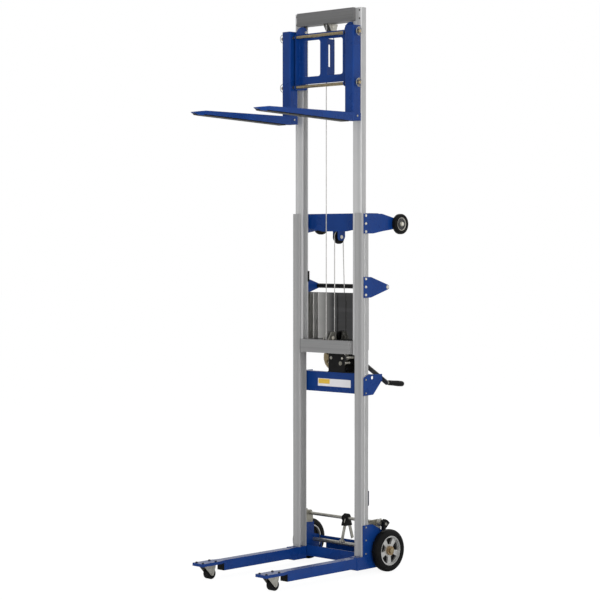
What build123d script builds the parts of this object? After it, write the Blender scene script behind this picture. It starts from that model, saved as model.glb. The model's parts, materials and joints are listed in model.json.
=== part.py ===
from build123d import *
import os
from math import asin, atan2, cos, degrees, hypot, pi, sin, sqrt

# Hand winch lift truck with its mast raised, in millimetres. +Z is up, the forks and legs point to -Y,
# and +X is to the right seen from the front. The origin is on the floor, under the middle of the truck.
# Outlines are listed as (distance behind the posts' front face, height) unless they say otherwise.
os.makedirs("parts", exist_ok=True)
SIDES = {"left": -1, "right": 1}
RUN_FIT = 0.05

# Outer mast
MAST_Y = 202.0  # front face of the outer posts
POST_OUT = 228.0  # outer face of the outer posts, from the middle
POST_W, POST_D = 47.0, 48.0
POST_FLANGE, POST_WEB, POST_CORNER = 3.2, 8.0, 2.0
POST_BOTTOM, POST_TOP = 83.0, 1720.0
SLOT_MOUTH, SLOT_HEAD, SLOT_DEPTH, SLOT_HEAD_T = 7.0, 13.0, 5.5, 3.0
GROOVE_WIDE, GROOVE_NARROW, GROOVE_DEEP = 20.0, 6.0, 1.6
POST_X = POST_OUT - POST_W / 2
POST_MID_Y = MAST_Y + POST_D / 2
POST_REAR = MAST_Y + POST_D

# Inner mast
INNER_OUT, INNER_W, INNER_WALL, INNER_CORNER = 218.0, 52.0, 4.0, 6.0
INNER_D = 37.6
INNER_BOTTOM, INNER_TOP = 1043.0, 2693.0
INNER_Y = POST_MID_Y - INNER_D / 2
INNER_X = INNER_OUT - INNER_W / 2
BEAM_H, BEAM_TUBE_D, BEAM_WALL = 63.0, 29.0, 3.0
BEAM_FRONT, BEAM_FACE_HALF = MAST_Y - 16, 162.0
BEAM_TUBE_HALF = INNER_OUT - INNER_WALL - 0.3
BEAM_EAR, BEAM_LIP = 180.0, 185.0
LOWER_BEAM_Z, TOP_BEAM_Z = INNER_BOTTOM + 4, INNER_TOP - BEAM_H
SCREW_X, SCREW_HEAD_R, SCREW_HEAD_H = INNER_OUT - 11.5, 4.5, 2.0
SCREW_Z = (INNER_TOP - 13, INNER_TOP - 52)
GLIDE_T, GLIDE_GAP = 1.6, 0.4
PAD_HALF, PAD_X, PAD_L = 12.0, INNER_X + 6, 70.0
BUMPER_T, BUMPER_Y, BUMPER_Z = 5.0, (INNER_Y + INNER_D - INNER_WALL, POST_REAR), (1389.0, 1441.0)

# Rope and sheaves, all in one plane
ROPE_R = 2.4
ROPE_X = 5.0
ROPE_GAP = 0.3
SHEAVE_HALF, RIM_HALF, WEB_HALF, SHEAVE_RIM, PIN_R = 13.0, 7.0, 3.0, 3.5, 6.0
SHEAVE_HUB_R, SHEAVE_WEB_GAP = 12.0, 5.0
PIN_HEAD_R, PIN_HEAD_H = 9.0, 4.0
HEAD_Y, HEAD_Z, HEAD_R = MAST_Y + 17, 2618.0, 26.0
LOWER_Y, LOWER_Z, LOWER_R = MAST_Y + 20.5, 1120.0, 29.5
TOP_Y, TOP_Z, TOP_R = MAST_Y + 80, 1607.0, 30.0
CHEEK_IN, CHEEK_T = SHEAVE_HALF + 1, 4.0
HEAD_CHEEK = ((-15.0, 54.0), (11.0, 40.0), 40.0)  # span at the beam, span at the end, length
LOWER_CHEEK = ((-15.0, 46.0), (9.0, 39.0), 39.0)

# Bolts into the post slots
BOLT_R, BOLT_HEAD_R, BOLT_HEAD_H = 3.2, 6.5, 4.5
BOLT_HOLE_R = BOLT_R + 0.2
PLATE_T = 4.0
BOLT_Y = POST_MID_Y

# Loading wheels, push handle and top crossmember
ARM_BOLTS = (1708.0, 1670.0, 1632.0)
ARM_JOG, ARM_NEAR, ARM_BEND, ARM_BEND_L, ARM_FAR = 18.0, 12.0, 143.0, 62.0, 257.0
ARM_MITRE = 1.4
ARM_SIDE = [(12, 1718), (140, 1718), (237, 1689), (253, 1676)]
ARM_SIDE += [(253, 1660), (237, 1650), (76, 1623), (12, 1623)]
LOAD_Y, LOAD_Z, LOAD_X = MAST_Y + 237, 1669.0, 263.0
LOAD_R, LOAD_W, LOAD_PIN_R, LOAD_ROUND = 49.0, 25.0, 6.0, 8.0
LOAD_DISH_R, LOAD_DISH, LOAD_BOSS_R = 33.0, 5.0, 13.0
LOAD_HEAD_R, LOAD_NUT_R = 10.0, 9.0
HANDLE_BOLTS = (1407.0, 1369.0, 1331.0)
HANDLE_SIDE = [(12, 1417), (62, 1416), (182, 1378), (192, 1372)]
HANDLE_SIDE += [(192, 1360), (182, 1354), (62, 1318), (12, 1317)]
HANDLE_Y, HANDLE_Z, HANDLE_R = MAST_Y + 180, 1366.0, 11.0
HANDLE_THREAD, HANDLE_HEAD_R, HANDLE_HEAD_H = 14.0, 9.0, 5.0
CROSS_Y, CROSS_SHELF = MAST_Y + 56, 62.0
TOP_CROSS_Z, CROSS_FLAT, CROSS_RISE = 1634.0, 80.0, 24.0
CLEVIS = [(62, 1720), (106, 1720), (106, 1606), (96, 1590), (64, 1590), (56, 1600), (56, 1640)]

# Guard panel
GUARD_Y, GUARD_T, GUARD_HALF, GUARD_CORNER = MAST_Y + 61.5, 3.0, 214.0, 8.0
GUARD_Z = (1062.0, 1338.0)
GUARD_SCREWS = (1090.0, 1310.0)
GUARD_SPACER_R, GUARD_HEAD_R, GUARD_HEAD_H = 8.0, 5.5, 3.0

# Winch
WINCH_Z, WINCH_CROSS_H, WINCH_CROSS_Y = 950.0, 97.0, MAST_Y + 57
WINCH_SHELF, WINCH_SHELF_X, CROSS_LIP, CROSS_HEM = 85.0, (-62.0, 100.0), 30.0, 24.0
WINCH_SIDE = [(11, 937), (41, 950), (142, 950), (142, 920), (78, 853), (11, 851)]
WINCH_BOLTS = (927.0, 863.0)
TIE_HOLE_Y, TIE_HOLE_Z, TIE_HOLE_R = MAST_Y + 71, 935.0, 8.5
WINCH_FRONT, WINCH_REAR, WINCH_PLATE = MAST_Y + 60, MAST_Y + 144, 4.0
WINCH_FOOT_X = (-50.0, 88.0)
# The two plates as (X, height)
FRONT_PLATE = [(-45, 950), (60, 950), (60, 1036), (52, 1046), (-36, 1046), (-45, 1036)]
REAR_PLATE = [(-50, 950), (88, 950), (88, 1036), (78, 1048)]
REAR_PLATE += [(40, 1048), (30, 1042), (-38, 1042), (-50, 1028)]
SPACER_X, SPACER_Z, SPACER_R, SPACER_HEAD_R, SPACER_HEAD_H = 35.0, 995.0, 5.0, 10.0, 2.0
SLEEVE_R, SLEEVE_L = 14.0, 15.0
DRUM_X, DRUM_Z, DRUM_SHAFT_R = -28.0, 1020.0, 8.0
DRUM_R = ROPE_X - DRUM_X
DRUM_Y = (MAST_Y + 81, MAST_Y + 137)
DRUM_FLANGE_R, DRUM_FLANGE_T = 46.0, 3.0
WIND_LOOPS, WIND_PITCH, WIND_Y = 8, 5.5, MAST_Y + 87
MODULE, GEAR_TEETH, PINION_TEETH = 2.0, 58, 15
DEDENDUM, ADDENDUM = 1.1 * MODULE, 0.8 * MODULE
GEAR_Y, GEAR_T, GEAR_BOSS_R = MAST_Y + 68, 10.0, 18.0
GEAR_HOLES, GEAR_HOLE_R, GEAR_HOLE_CIRCLE = 5, 8.0, 36.0
PINION_X = DRUM_X + MODULE * (GEAR_TEETH + PINION_TEETH) / 2
PINION_SHAFT_R = 5.5
CRANK_Y, CRANK_T, CRANK_W, CRANK_HUB_R = MAST_Y + 160, 6.0, 22.0, 15.0
CRANK_END = (242.0, 907.0)
GRIP_PIN_R, GRIP_R, GRIP_L, GRIP_ROUND, GRIP_STEP, GRIP_STEP_R = 5.0, 14.0, 112.0, 4.0, 5.0, 9.0
GRIP_DROOP = 6.0  # degrees below level

# Base, legs and casters
LEG_X, LEG_W, LEG_H, LEG_WALL, LEG_TOP = 210.0, 45.0, 49.0, 3.0, 81.0
LEG_FRONT, LEG_REAR = MAST_Y - 506, MAST_Y + 48
LEG_BOTTOM = LEG_TOP - LEG_H
SOCKET_WALL, SOCKET_REAR = 2.0, MAST_Y + 50
BASE_PLATE_T = 6.0
SOCKET_SIDE = [(-62, 32), (-38, 22), (50, 22), (50, 83), (-38, 83), (-38, 32)]
BASE_SIDE = [(8, 22), (8, 232), (72, 232), (136, 200), (150, 186)]
BASE_SIDE += [(150, 131), (190, 120), (190, 62), (150, 22)]
BASE_BOLTS = (222.0, 160.0, 96.0)
PAN_Z, PAN_T, PAN_Y = 36.0, 5.0, (MAST_Y + 54, MAST_Y + 200)
PAN_FRONT_TOP, PAN_REAR_TOP = 88.0, 116.0
PAN_NOTCH_X, PAN_NOTCH_Z = (188.0, 222.0), (57.0, 87.0)
TRAY_W, TRAY_FRONT, TRAY_H, TRAY_T = 69.0, MAST_Y - 657.5, 14.0, 4.0
TRAY_SHOULDER = MAST_Y - 545
PLUG_CAP, PLUG_L = 3.0, 16.0
SWIVEL_Y, CASTER_TRAIL, SWIVEL_GAP = MAST_Y - 602, 21.0, 0.5
CASTER_BOLT_X, CASTER_BOLT_Y = 22.0, 41.0
CASTER_BOLT_L, CASTER_HEAD_H = 12.0, 5.0
CASTER_R, CASTER_W, CASTER_PIN_R, CASTER_ROUND = 25.4, 34.0, 4.0, 3.0
RACE_Z, CROWN_Z, RACE_R, CROWN_R = 66.5, 62.0, 28.0, 27.0
CASTER_PLATE = (56.0, 94.0, 3.0)
CHEEK_GAP, CASTER_CHEEK_T, CASTER_PIN_OUT = 1.0, 2.5, 6.0
# Cheek of a caster as (behind the swivel, above the axle)
CASTER_CHEEK = [(-27, 40.6), (42, 40.6), (42, 32), (31, -5), (25, -9), (19, -9), (12, -5), (-27, 37)]

# Rear wheels and foot brake
AXLE_Y, WHEEL_R, AXLE_R = MAST_Y + 150, 101.6, 9.5
TYRE_X, TYRE_W, TYRE_ROUND, RIM_R = 264.0, 44.0, 18.0, 71.0
AXLE_COLLAR_R, AXLE_NUT_R, AXLE_NUT_T, AXLE_SHORT = 16.0, 14.0, 7.0, 3.0
RIM_T, WEB_T, HUB_R, HUB_FACE = 6.0, 10.0, 22.0, 3.5
RIM_SET_IN, RIM_SET_OUT, WEB_SHIFT = 4.0, 5.5, 3.0
HUB_SPOKES = 5
HUB_WINDOW = [(30, -10), (58, -24), (61, -10), (61, 10), (58, 24), (30, 10)]
BRAKE_Y, BRAKE_Z, BRAKE_R = MAST_Y + 116, 236.0, 8.0
SHOE_X, SHOE_W = 268.0, 18.0
# Brake outlines as (behind the shaft, above the shaft)
SHOE_SIDE = [(-11, 8), (-11, -34), (1, -29), (32, 0), (18, 13), (3, 20)]
BRACKET_SIDE = [(-62, -40), (18, -46), (22, -26), (16, 10), (8, 16), (-8, 16), (-62, 15)]
PEDALS = (((-8.0, -4.0), (-41.0, -117.0)), ((8.0, -4.0), (38.0, -101.0)))
PEDAL_X, PEDAL_T, PEDAL_HALF = 26.0, 5.0, 8.0
PEG_X, PEG_R, PEG_PLACE = (15.0, 43.0), 6.0, (-38.0, -109.0)
HUB_X, HUB_BOSS_X, HUB_BOSS_R, HUB_ROUND = (12.0, 38.0), (5.0, 40.0), 16.0, 3.0
HUB_SIDE = [(-15, -4), (-15, 10), (-9, 20), (0, 23), (9, 20), (15, 10), (15, -4), (27, -36), (-27, -36)]
CLAMP_X, CLAMP_R = (230.0, 254.0), 16.0
CLAMP_BOLT_X, CLAMP_BOLT_R, CLAMP_BOLT_H = 246.0, 5.0, 5.0

# Carriage and forks
SIDE_X, SIDE_T = 158.0, 5.0
CARRIAGE_SIDE = [(-50, 2326), (-50, 2578), (-46, 2594), (-36, 2611), (-22, 2622), (-9, 2627), (9, 2627)]
CARRIAGE_SIDE += [(23, 2620), (30, 2607), (30, 2334), (22, 2322), (-42, 2318)]
FACE_Y, FACE_T, FACE_Z = MAST_Y - 24, 5.0, (2346.0, 2590.0)
ROD_Y, ROD_R, ROD_Z, ROD_EYE_R = MAST_Y - 45, 8.0, (2333.0, 2573.0), 12.5
ROD_HALF, ROD_PIN_IN = 256.0, 8.0
WINDOW_X, WINDOW_Z, WINDOW_CORNER = (22.0, 125.0), (2382.0, 2556.0), 13.0
RIB_REAR, RIB_SLOT_Y, RIB_SLOT_Z, RIB_CORNER = MAST_Y + 31, MAST_Y - 4.5, (2422.0, 2530.0), 14.0
LUG_Z, LUG_HALF, LUG_T, LUG_FRONT, ANCHOR_R = 2376.0, 9.0, 8.0, MAST_Y - 2, 5.5
LUG_REAR = TOP_Y - TOP_R - SHEAVE_RIM - 1.5  # passes in front of the top sheave
GLIDE_BOLT_Z, GLIDE_BOLT_Y, GLIDE_HALF_Z, GLIDE_HEAD = (2344.0, 2602.0), POST_MID_Y - 6, 14.0, 5.0
PIN_WIRE_R, PIN_L, PIN_CAP_R, PIN_CAP_L = 2.4, 34.0, 4.5, 8.0
RING_R, RING_WIRE, RING_OUT = 19.5, 1.5, 3.0
FORK_X, FORK_W, FORK_WALL, FORK_CORNER = 207.0, 54.0, 5.0, 6.0
FORK_Y = (MAST_Y - 70, MAST_Y - 18)
FORK_TOP, TINE_TOP, TINE_BOTTOM = 2603.0, 2192.0, 2146.0
TINE_TIP, TINE_CHIN, TINE_NOSE, TINE_HEEL, TINE_BEND = -488.0, -472.0, -422.0, MAST_Y - 15, MAST_Y - 96
TIP_DROP, CHIN_DROP, HEEL_RISE, BEND_RISE = (8.0, 11.0), 16.0, 9.0, 7.0
TIP_HALF, UNDER_IN, UNDER_T, UNDER_LAP = 8.0, 3.0, 6.0, 1.0
HEEL_BOLT_Y, HEEL_BOLT_Z, HEEL_BOLT_H, HEEL_BOLT_R = MAST_Y - 40, TINE_TOP - 15, 3.0, 4.5


def save(builder, name):
    builder.part.label = name
    export_step(builder.part, f"parts/{name}.step")


def groove(x_mid, y_face):
    """Shallow trapezoid groove cut into a post's front face, in the open sketch."""
    wide, narrow = GROOVE_WIDE / 2, GROOVE_NARROW / 2
    floor = y_face + GROOVE_DEEP
    corners = [(x_mid - wide, y_face), (x_mid + wide, y_face)]
    corners += [(x_mid + narrow, floor), (x_mid - narrow, floor)]
    Polygon(*corners, align=None, mode=Mode.SUBTRACT)


def rod_x(x_from, x_to, y, z, radius, mode=Mode.ADD):
    """Round bar along X between two stations."""
    with Locations(((x_from + x_to) / 2, y, z)):
        Cylinder(radius, abs(x_to - x_from), rotation=(0, 90, 0), mode=mode)


def rod_y(y_from, y_to, x, z, radius, mode=Mode.ADD):
    """Round bar along Y between two stations."""
    with Locations((x, (y_from + y_to) / 2, z)):
        Cylinder(radius, abs(y_to - y_from), rotation=(90, 0, 0), mode=mode)


def rod_z(x, y, z_from, z_to, radius, mode=Mode.ADD):
    """Round bar along Z between two heights."""
    with Locations((x, y, (z_from + z_to) / 2)):
        Cylinder(radius, abs(z_to - z_from), mode=mode)


def block(x, y, z, mode=Mode.ADD):
    """Box from its three spans."""
    with Locations(((x[0] + x[1]) / 2, (y[0] + y[1]) / 2, (z[0] + z[1]) / 2)):
        Box(abs(x[1] - x[0]), abs(y[1] - y[0]), abs(z[1] - z[0]), mode=mode)


def shifted(outline, y, z=0.0):
    return [(y + a, z + b) for a, b in outline]


def plate_x(x, thick, outline, mode=Mode.ADD):
    """Flat plate across X from an outline of (Y, Z) corners."""
    with BuildSketch(Plane.YZ.offset(x)) as profile:
        Polygon(*outline, align=None)
    extrude(profile.sketch, amount=thick, mode=mode)


def plate_y(y, thick, outline):
    """Flat plate across Y from an outline of (X, Z) corners, its front face at y."""
    with BuildSketch(Plane.XZ.offset(-y)) as profile:
        Polygon(*outline, align=None)
    extrude(profile.sketch, amount=-thick)


# Outer mast


def outer_post(side):
    with BuildPart() as post:
        with BuildSketch(Plane.XY.offset(POST_BOTTOM)):
            with Locations((side * POST_X, POST_MID_Y)):
                RectangleRounded(POST_W, POST_D, POST_CORNER)
            with Locations((side * (POST_X - POST_WEB), POST_MID_Y)):
                Rectangle(POST_W, POST_D - 2 * POST_FLANGE, mode=Mode.SUBTRACT)
            with Locations((side * (POST_OUT - SLOT_DEPTH / 2), POST_MID_Y)):
                Rectangle(SLOT_DEPTH, SLOT_MOUTH, mode=Mode.SUBTRACT)
            with Locations((side * (POST_OUT - SLOT_DEPTH + SLOT_HEAD_T / 2), POST_MID_Y)):
                Rectangle(SLOT_HEAD_T, SLOT_HEAD, mode=Mode.SUBTRACT)
            groove(side * POST_X, MAST_Y)
        extrude(amount=POST_TOP - POST_BOTTOM)
    return post


def glide_pads(half_w, y_front, y_rear, z_low, inward):
    """Front, rear and side pads of both posts; inward pads grow towards the inner post."""
    grow = GLIDE_T if inward else -GLIDE_T
    z = (z_low, z_low + PAD_L)
    with BuildPart() as pads:
        for side in SIDES.values():
            x = (side * PAD_X - PAD_HALF, side * PAD_X + PAD_HALF)
            block(x, (y_front, y_front + grow), z)
            block(x, (y_rear, y_rear - grow), z)
            y = (POST_MID_Y - PAD_HALF, POST_MID_Y + PAD_HALF)
            block((side * half_w, side * (half_w - grow)), y, z)
    return pads


def top_crossmember():
    """Cross plate with a shelf along its top edge and the clevis of the top sheave."""
    half, rise = POST_OUT, TOP_CROSS_Z + CROSS_RISE
    with BuildPart() as cross:
        outline = [(-half, rise), (-CROSS_FLAT, TOP_CROSS_Z), (CROSS_FLAT, TOP_CROSS_Z)]
        outline += [(half, rise), (half, POST_TOP), (-half, POST_TOP)]
        plate_y(CROSS_Y, PLATE_T, outline)
        block((-half, half), (CROSS_Y, CROSS_Y + CROSS_SHELF), (POST_TOP - PLATE_T, POST_TOP))
        reach = CHEEK_IN + CHEEK_T
        for side in SIDES.values():
            plate_x(ROPE_X + side * CHEEK_IN, side * CHEEK_T, shifted(CLEVIS, MAST_Y))
        rod_x(ROPE_X - reach, ROPE_X + reach, TOP_Y, TOP_Z, PIN_R + RUN_FIT, Mode.SUBTRACT)
    return cross


def loading_arm(side):
    """Flat bar with an outward jog, trimmed to its side outline."""
    near, jog, far = MAST_Y + ARM_NEAR, MAST_Y + ARM_BEND, MAST_Y + ARM_FAR
    flat, out = POST_OUT, POST_OUT + ARM_JOG
    lowest = min(z for y, z in ARM_SIDE)
    with BuildPart() as arm:
        with BuildSketch(Plane.XY.offset(lowest)):
            plan = [(side * flat, near), (side * flat, jog), (side * out, jog + ARM_BEND_L)]
            plan += [(side * out, far), (side * (out + PLATE_T), far)]
            plan += [(side * (out + PLATE_T), jog + ARM_BEND_L - ARM_MITRE)]
            plan += [(side * (flat + PLATE_T), jog - ARM_MITRE), (side * (flat + PLATE_T), near)]
            Polygon(*plan, align=None)
        extrude(amount=POST_TOP - lowest)
        plate_x(side * flat, side * (ARM_JOG + PLATE_T), shifted(ARM_SIDE, MAST_Y), Mode.INTERSECT)
        for z in ARM_BOLTS:
            rod_x(side * flat, side * (flat + PLATE_T), BOLT_Y, z, BOLT_HOLE_R, Mode.SUBTRACT)
        rod_x(side * out, side * (out + PLATE_T), LOAD_Y, LOAD_Z, LOAD_PIN_R + RUN_FIT, Mode.SUBTRACT)
    return arm


def handle_bracket(side):
    inner, outer = side * POST_OUT, side * (POST_OUT + PLATE_T)
    with BuildPart() as bracket:
        plate_x(inner, side * PLATE_T, shifted(HANDLE_SIDE, MAST_Y))
        for z in HANDLE_BOLTS:
            rod_x(inner, outer, BOLT_Y, z, BOLT_HOLE_R, Mode.SUBTRACT)
        rod_x(inner, outer, HANDLE_Y, HANDLE_Z, BOLT_HOLE_R, Mode.SUBTRACT)
    return bracket


def push_bar():
    threaded = POST_OUT - HANDLE_THREAD
    with BuildPart() as bar:
        rod_x(-POST_OUT, POST_OUT, HANDLE_Y, HANDLE_Z, HANDLE_R)
        for side in SIDES.values():
            rod_x(side * POST_OUT, side * threaded, HANDLE_Y, HANDLE_Z, BOLT_HOLE_R, Mode.SUBTRACT)
    return bar


def guard_panel():
    with BuildPart() as panel:
        block((-GUARD_HALF, GUARD_HALF), (GUARD_Y, GUARD_Y + GUARD_T), GUARD_Z)
        fillet(panel.edges().filter_by(Axis.Y), GUARD_CORNER)
        for side in SIDES.values():
            for z in GUARD_SCREWS:
                rod_y(GUARD_Y, GUARD_Y + GUARD_T, side * POST_X, z, BOLT_HOLE_R, Mode.SUBTRACT)
    return panel


def mast_bumpers():
    """Rubber blocks on the rear edges of the inner posts."""
    edge = INNER_OUT - INNER_W
    with BuildPart() as bumpers:
        for side in SIDES.values():
            block((side * (edge - BUMPER_T), side * edge), BUMPER_Y, BUMPER_Z)
    return bumpers


# Winch


def winch_crossmember():
    """Folded cross plate with a shelf for the winch and a side plate at each post."""
    front, low = WINCH_CROSS_Y, WINCH_Z - WINCH_CROSS_H
    span, top = (-POST_OUT, POST_OUT), (WINCH_Z - PLATE_T, WINCH_Z)
    with BuildPart() as cross:
        block(span, (front, front + PLATE_T), (low, WINCH_Z))
        block(span, (front, front + CROSS_LIP), top)
        block(WINCH_SHELF_X, (front, front + WINCH_SHELF), top)
        block(span, (front, front + CROSS_HEM), (low, low + PLATE_T))
        for side in SIDES.values():
            inner, outer = side * POST_OUT, side * (POST_OUT + PLATE_T)
            plate_x(inner, side * PLATE_T, shifted(WINCH_SIDE, MAST_Y))
            for z in WINCH_BOLTS:
                rod_x(inner, outer, BOLT_Y, z, BOLT_HOLE_R, Mode.SUBTRACT)
            rod_x(inner, outer, TIE_HOLE_Y, TIE_HOLE_Z, TIE_HOLE_R, Mode.SUBTRACT)
    return cross


def winch_frame():
    """Two plates on a foot, with a headed and sleeved spacer bar between them."""
    rear_face = WINCH_REAR - WINCH_PLATE
    with BuildPart() as frame:
        block(WINCH_FOOT_X, (WINCH_FRONT, WINCH_REAR), (WINCH_Z, WINCH_Z + WINCH_PLATE))
        plate_y(WINCH_FRONT, WINCH_PLATE, FRONT_PLATE)
        plate_y(rear_face, WINCH_PLATE, REAR_PLATE)
        rod_y(WINCH_FRONT, WINCH_REAR, SPACER_X, SPACER_Z, SPACER_R)
        rod_y(rear_face - SLEEVE_L, rear_face, SPACER_X, SPACER_Z, SLEEVE_R)
        rod_y(WINCH_FRONT - SPACER_HEAD_H, WINCH_FRONT, SPACER_X, SPACER_Z, SPACER_HEAD_R)
        rod_y(WINCH_REAR, WINCH_REAR + SPACER_HEAD_H, SPACER_X, SPACER_Z, SPACER_HEAD_R)
        rod_y(WINCH_FRONT, WINCH_REAR, DRUM_X, DRUM_Z, DRUM_SHAFT_R + RUN_FIT, Mode.SUBTRACT)
        rod_y(WINCH_FRONT, WINCH_REAR, PINION_X, DRUM_Z, PINION_SHAFT_R + RUN_FIT, Mode.SUBTRACT)
    return frame


def winch_drum():
    front, rear = DRUM_Y
    core = DRUM_R - ROPE_R - ROPE_GAP
    with BuildPart() as drum:
        rod_y(WINCH_FRONT - 1, WINCH_REAR + 2, DRUM_X, DRUM_Z, DRUM_SHAFT_R)
        rod_y(front, rear, DRUM_X, DRUM_Z, core)
        rod_y(front, front + DRUM_FLANGE_T, DRUM_X, DRUM_Z, DRUM_FLANGE_R)
        rod_y(rear - DRUM_FLANGE_T, rear, DRUM_X, DRUM_Z, DRUM_FLANGE_R)
    return drum


def toothed_disc(teeth, turn):
    """Sketch of a spur gear about the sketch origin, one tooth centred at the angle turn."""
    pitch = MODULE * teeth / 2
    root, tip = pitch - DEDENDUM, pitch + ADDENDUM
    foot, half_foot, half_tip = root - 0.8, 0.65 * MODULE, 0.26 * MODULE
    Circle(root)
    for k in range(teeth):
        with Locations(Rotation(0, 0, 360.0 * k / teeth + turn)):
            Polygon((foot, -half_foot), (tip, -half_tip), (tip, half_tip), (foot, half_foot), align=None)


def gear_plane(x, y):
    """Plane across the winch shafts at a gear's front face, its X along the part's X."""
    return Plane(origin=(x, y, DRUM_Z), x_dir=(1, 0, 0), z_dir=(0, -1, 0))


def drum_gear():
    rear = GEAR_Y + GEAR_T
    with BuildPart() as gear:
        with BuildSketch(gear_plane(DRUM_X, GEAR_Y)):
            toothed_disc(GEAR_TEETH, 0.0)
            Circle(DRUM_SHAFT_R, mode=Mode.SUBTRACT)
            with PolarLocations(GEAR_HOLE_CIRCLE, GEAR_HOLES):
                Circle(GEAR_HOLE_R, mode=Mode.SUBTRACT)
        extrude(amount=-GEAR_T)
        with BuildSketch(gear_plane(DRUM_X, rear)):
            Circle(GEAR_BOSS_R)
            Circle(DRUM_SHAFT_R, mode=Mode.SUBTRACT)
        extrude(amount=rear - DRUM_Y[0])
    return gear


def pinion_shaft():
    """Crank shaft with its pinion."""
    with BuildPart() as shaft:
        rod_y(WINCH_FRONT - 1, CRANK_Y + CRANK_HUB_R, PINION_X, DRUM_Z, PINION_SHAFT_R)
        with BuildSketch(gear_plane(PINION_X, GEAR_Y - 1)):
            toothed_disc(PINION_TEETH, 180.0 + 180.0 / PINION_TEETH)
        extrude(amount=-GEAR_T - 2)
    return shaft


def on_grip_pin(start, end, radius, mode=Mode.ADD):
    """Round bar along the drooping grip pin, measured from the rear face of the crank arm."""
    with Locations(Location((CRANK_END[0], CRANK_Y + CRANK_T, CRANK_END[1]), (-GRIP_DROOP, 0, 0))):
        rod_y(start, end, 0, 0, radius, mode)


def crank_arm():
    dx, dz = CRANK_END[0] - PINION_X, CRANK_END[1] - DRUM_Z
    rear = CRANK_Y + CRANK_T
    with BuildPart() as arm:
        with BuildSketch(gear_plane(PINION_X, CRANK_Y)):
            with Locations(Location((dx / 2, dz / 2, 0), (0, 0, degrees(atan2(dz, dx))))):
                SlotCenterToCenter(hypot(dx, dz), CRANK_W)
        extrude(amount=-CRANK_T)
        rod_y(CRANK_Y - 3, rear + 4, PINION_X, DRUM_Z, CRANK_HUB_R)
        on_grip_pin(-CRANK_T / 2, GRIP_STEP + GRIP_L, GRIP_PIN_R)
        on_grip_pin(-CRANK_T / 2, GRIP_STEP - 1, GRIP_STEP_R)
        rod_y(CRANK_Y - 3, rear + 4, PINION_X, DRUM_Z, PINION_SHAFT_R, Mode.SUBTRACT)
    return arm


def crank_grip():
    end = GRIP_STEP + GRIP_L
    with BuildPart() as grip:
        on_grip_pin(GRIP_STEP, end, GRIP_R)
        fillet(grip.edges().filter_by(GeomType.CIRCLE), GRIP_ROUND)
        on_grip_pin(GRIP_STEP, end, GRIP_PIN_R + RUN_FIT, Mode.SUBTRACT)
    return grip


# Sheaves


def ring_section(half, low, high, mode=Mode.ADD):
    """Part of a turned section, as a rectangle about the middle plane."""
    Polygon((-half, low), (half, low), (half, high), (-half, high), align=None, mode=mode)


def sheave(y, z, pitch):
    """Rope sheave about an X axis, its groove clear of the rope all round."""
    rim, seat = pitch + SHEAVE_RIM, ROPE_R + ROPE_GAP
    with BuildPart() as wheel:
        with BuildSketch(Plane(origin=(ROPE_X, y, z))):
            ring_section(SHEAVE_HALF, PIN_R + RUN_FIT, SHEAVE_HUB_R)
            ring_section(WEB_HALF, SHEAVE_HUB_R - 1, pitch - SHEAVE_WEB_GAP + 1)
            ring_section(RIM_HALF, pitch - SHEAVE_WEB_GAP, rim)
            with Locations((0, pitch)):
                Circle(seat, mode=Mode.SUBTRACT)
            mouth = [(-seat, pitch), (seat, pitch), (seat + 1.5, rim), (-seat - 1.5, rim)]
            Polygon(*mouth, align=None, mode=Mode.SUBTRACT)
        revolve(axis=Axis((ROPE_X, y, z), (1, 0, 0)))
    return wheel


# Base, legs and casters


def base_frame():
    """Side plates, leg sockets and the pan between them."""
    socket_half = LEG_W / 2 + SOCKET_WALL
    span = (-POST_OUT, POST_OUT)
    pan_front, pan_rear = PAN_Y
    with BuildPart() as frame:
        for side in SIDES.values():
            plate_x(side * POST_OUT, side * BASE_PLATE_T, shifted(BASE_SIDE, MAST_Y))
            plate_x(side * LEG_X - socket_half, 2 * socket_half, shifted(SOCKET_SIDE, MAST_Y))
        block(span, (pan_front, pan_front + PAN_T), (PAN_Z, PAN_FRONT_TOP))
        block(span, (SOCKET_REAR, pan_rear), (PAN_Z, PAN_Z + PAN_T))
        block(span, (pan_rear - PAN_T, pan_rear), (PAN_Z, PAN_REAR_TOP))
        for side in SIDES.values():
            plate_in, plate_out = side * POST_OUT, side * (POST_OUT + BASE_PLATE_T)
            tunnel = (side * (LEG_X - LEG_W / 2), side * (LEG_X + LEG_W / 2))
            block(tunnel, (LEG_FRONT, SOCKET_REAR), (LEG_BOTTOM, LEG_TOP), Mode.SUBTRACT)
            rod_x(plate_in, plate_out, AXLE_Y, WHEEL_R, AXLE_R + RUN_FIT, Mode.SUBTRACT)
            for z in BASE_BOLTS:
                rod_x(plate_in, plate_out, BOLT_Y, z, BOLT_HOLE_R, Mode.SUBTRACT)
            notch = (side * PAN_NOTCH_X[0], side * PAN_NOTCH_X[1])
            block(notch, (pan_rear - PAN_T, pan_rear), PAN_NOTCH_Z, Mode.SUBTRACT)
    return frame


def tray_outline(x, inset):
    """Plan of the caster tray, as wide as the leg where they meet."""
    half, neck = TRAY_W / 2 - inset, LEG_W / 2 - inset
    front, back = TRAY_FRONT + inset, LEG_FRONT - inset
    corners = [(x - half, front), (x + half, front), (x + half, TRAY_SHOULDER)]
    return corners + [(x + neck, back), (x - neck, back), (x - half, TRAY_SHOULDER)]


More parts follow.
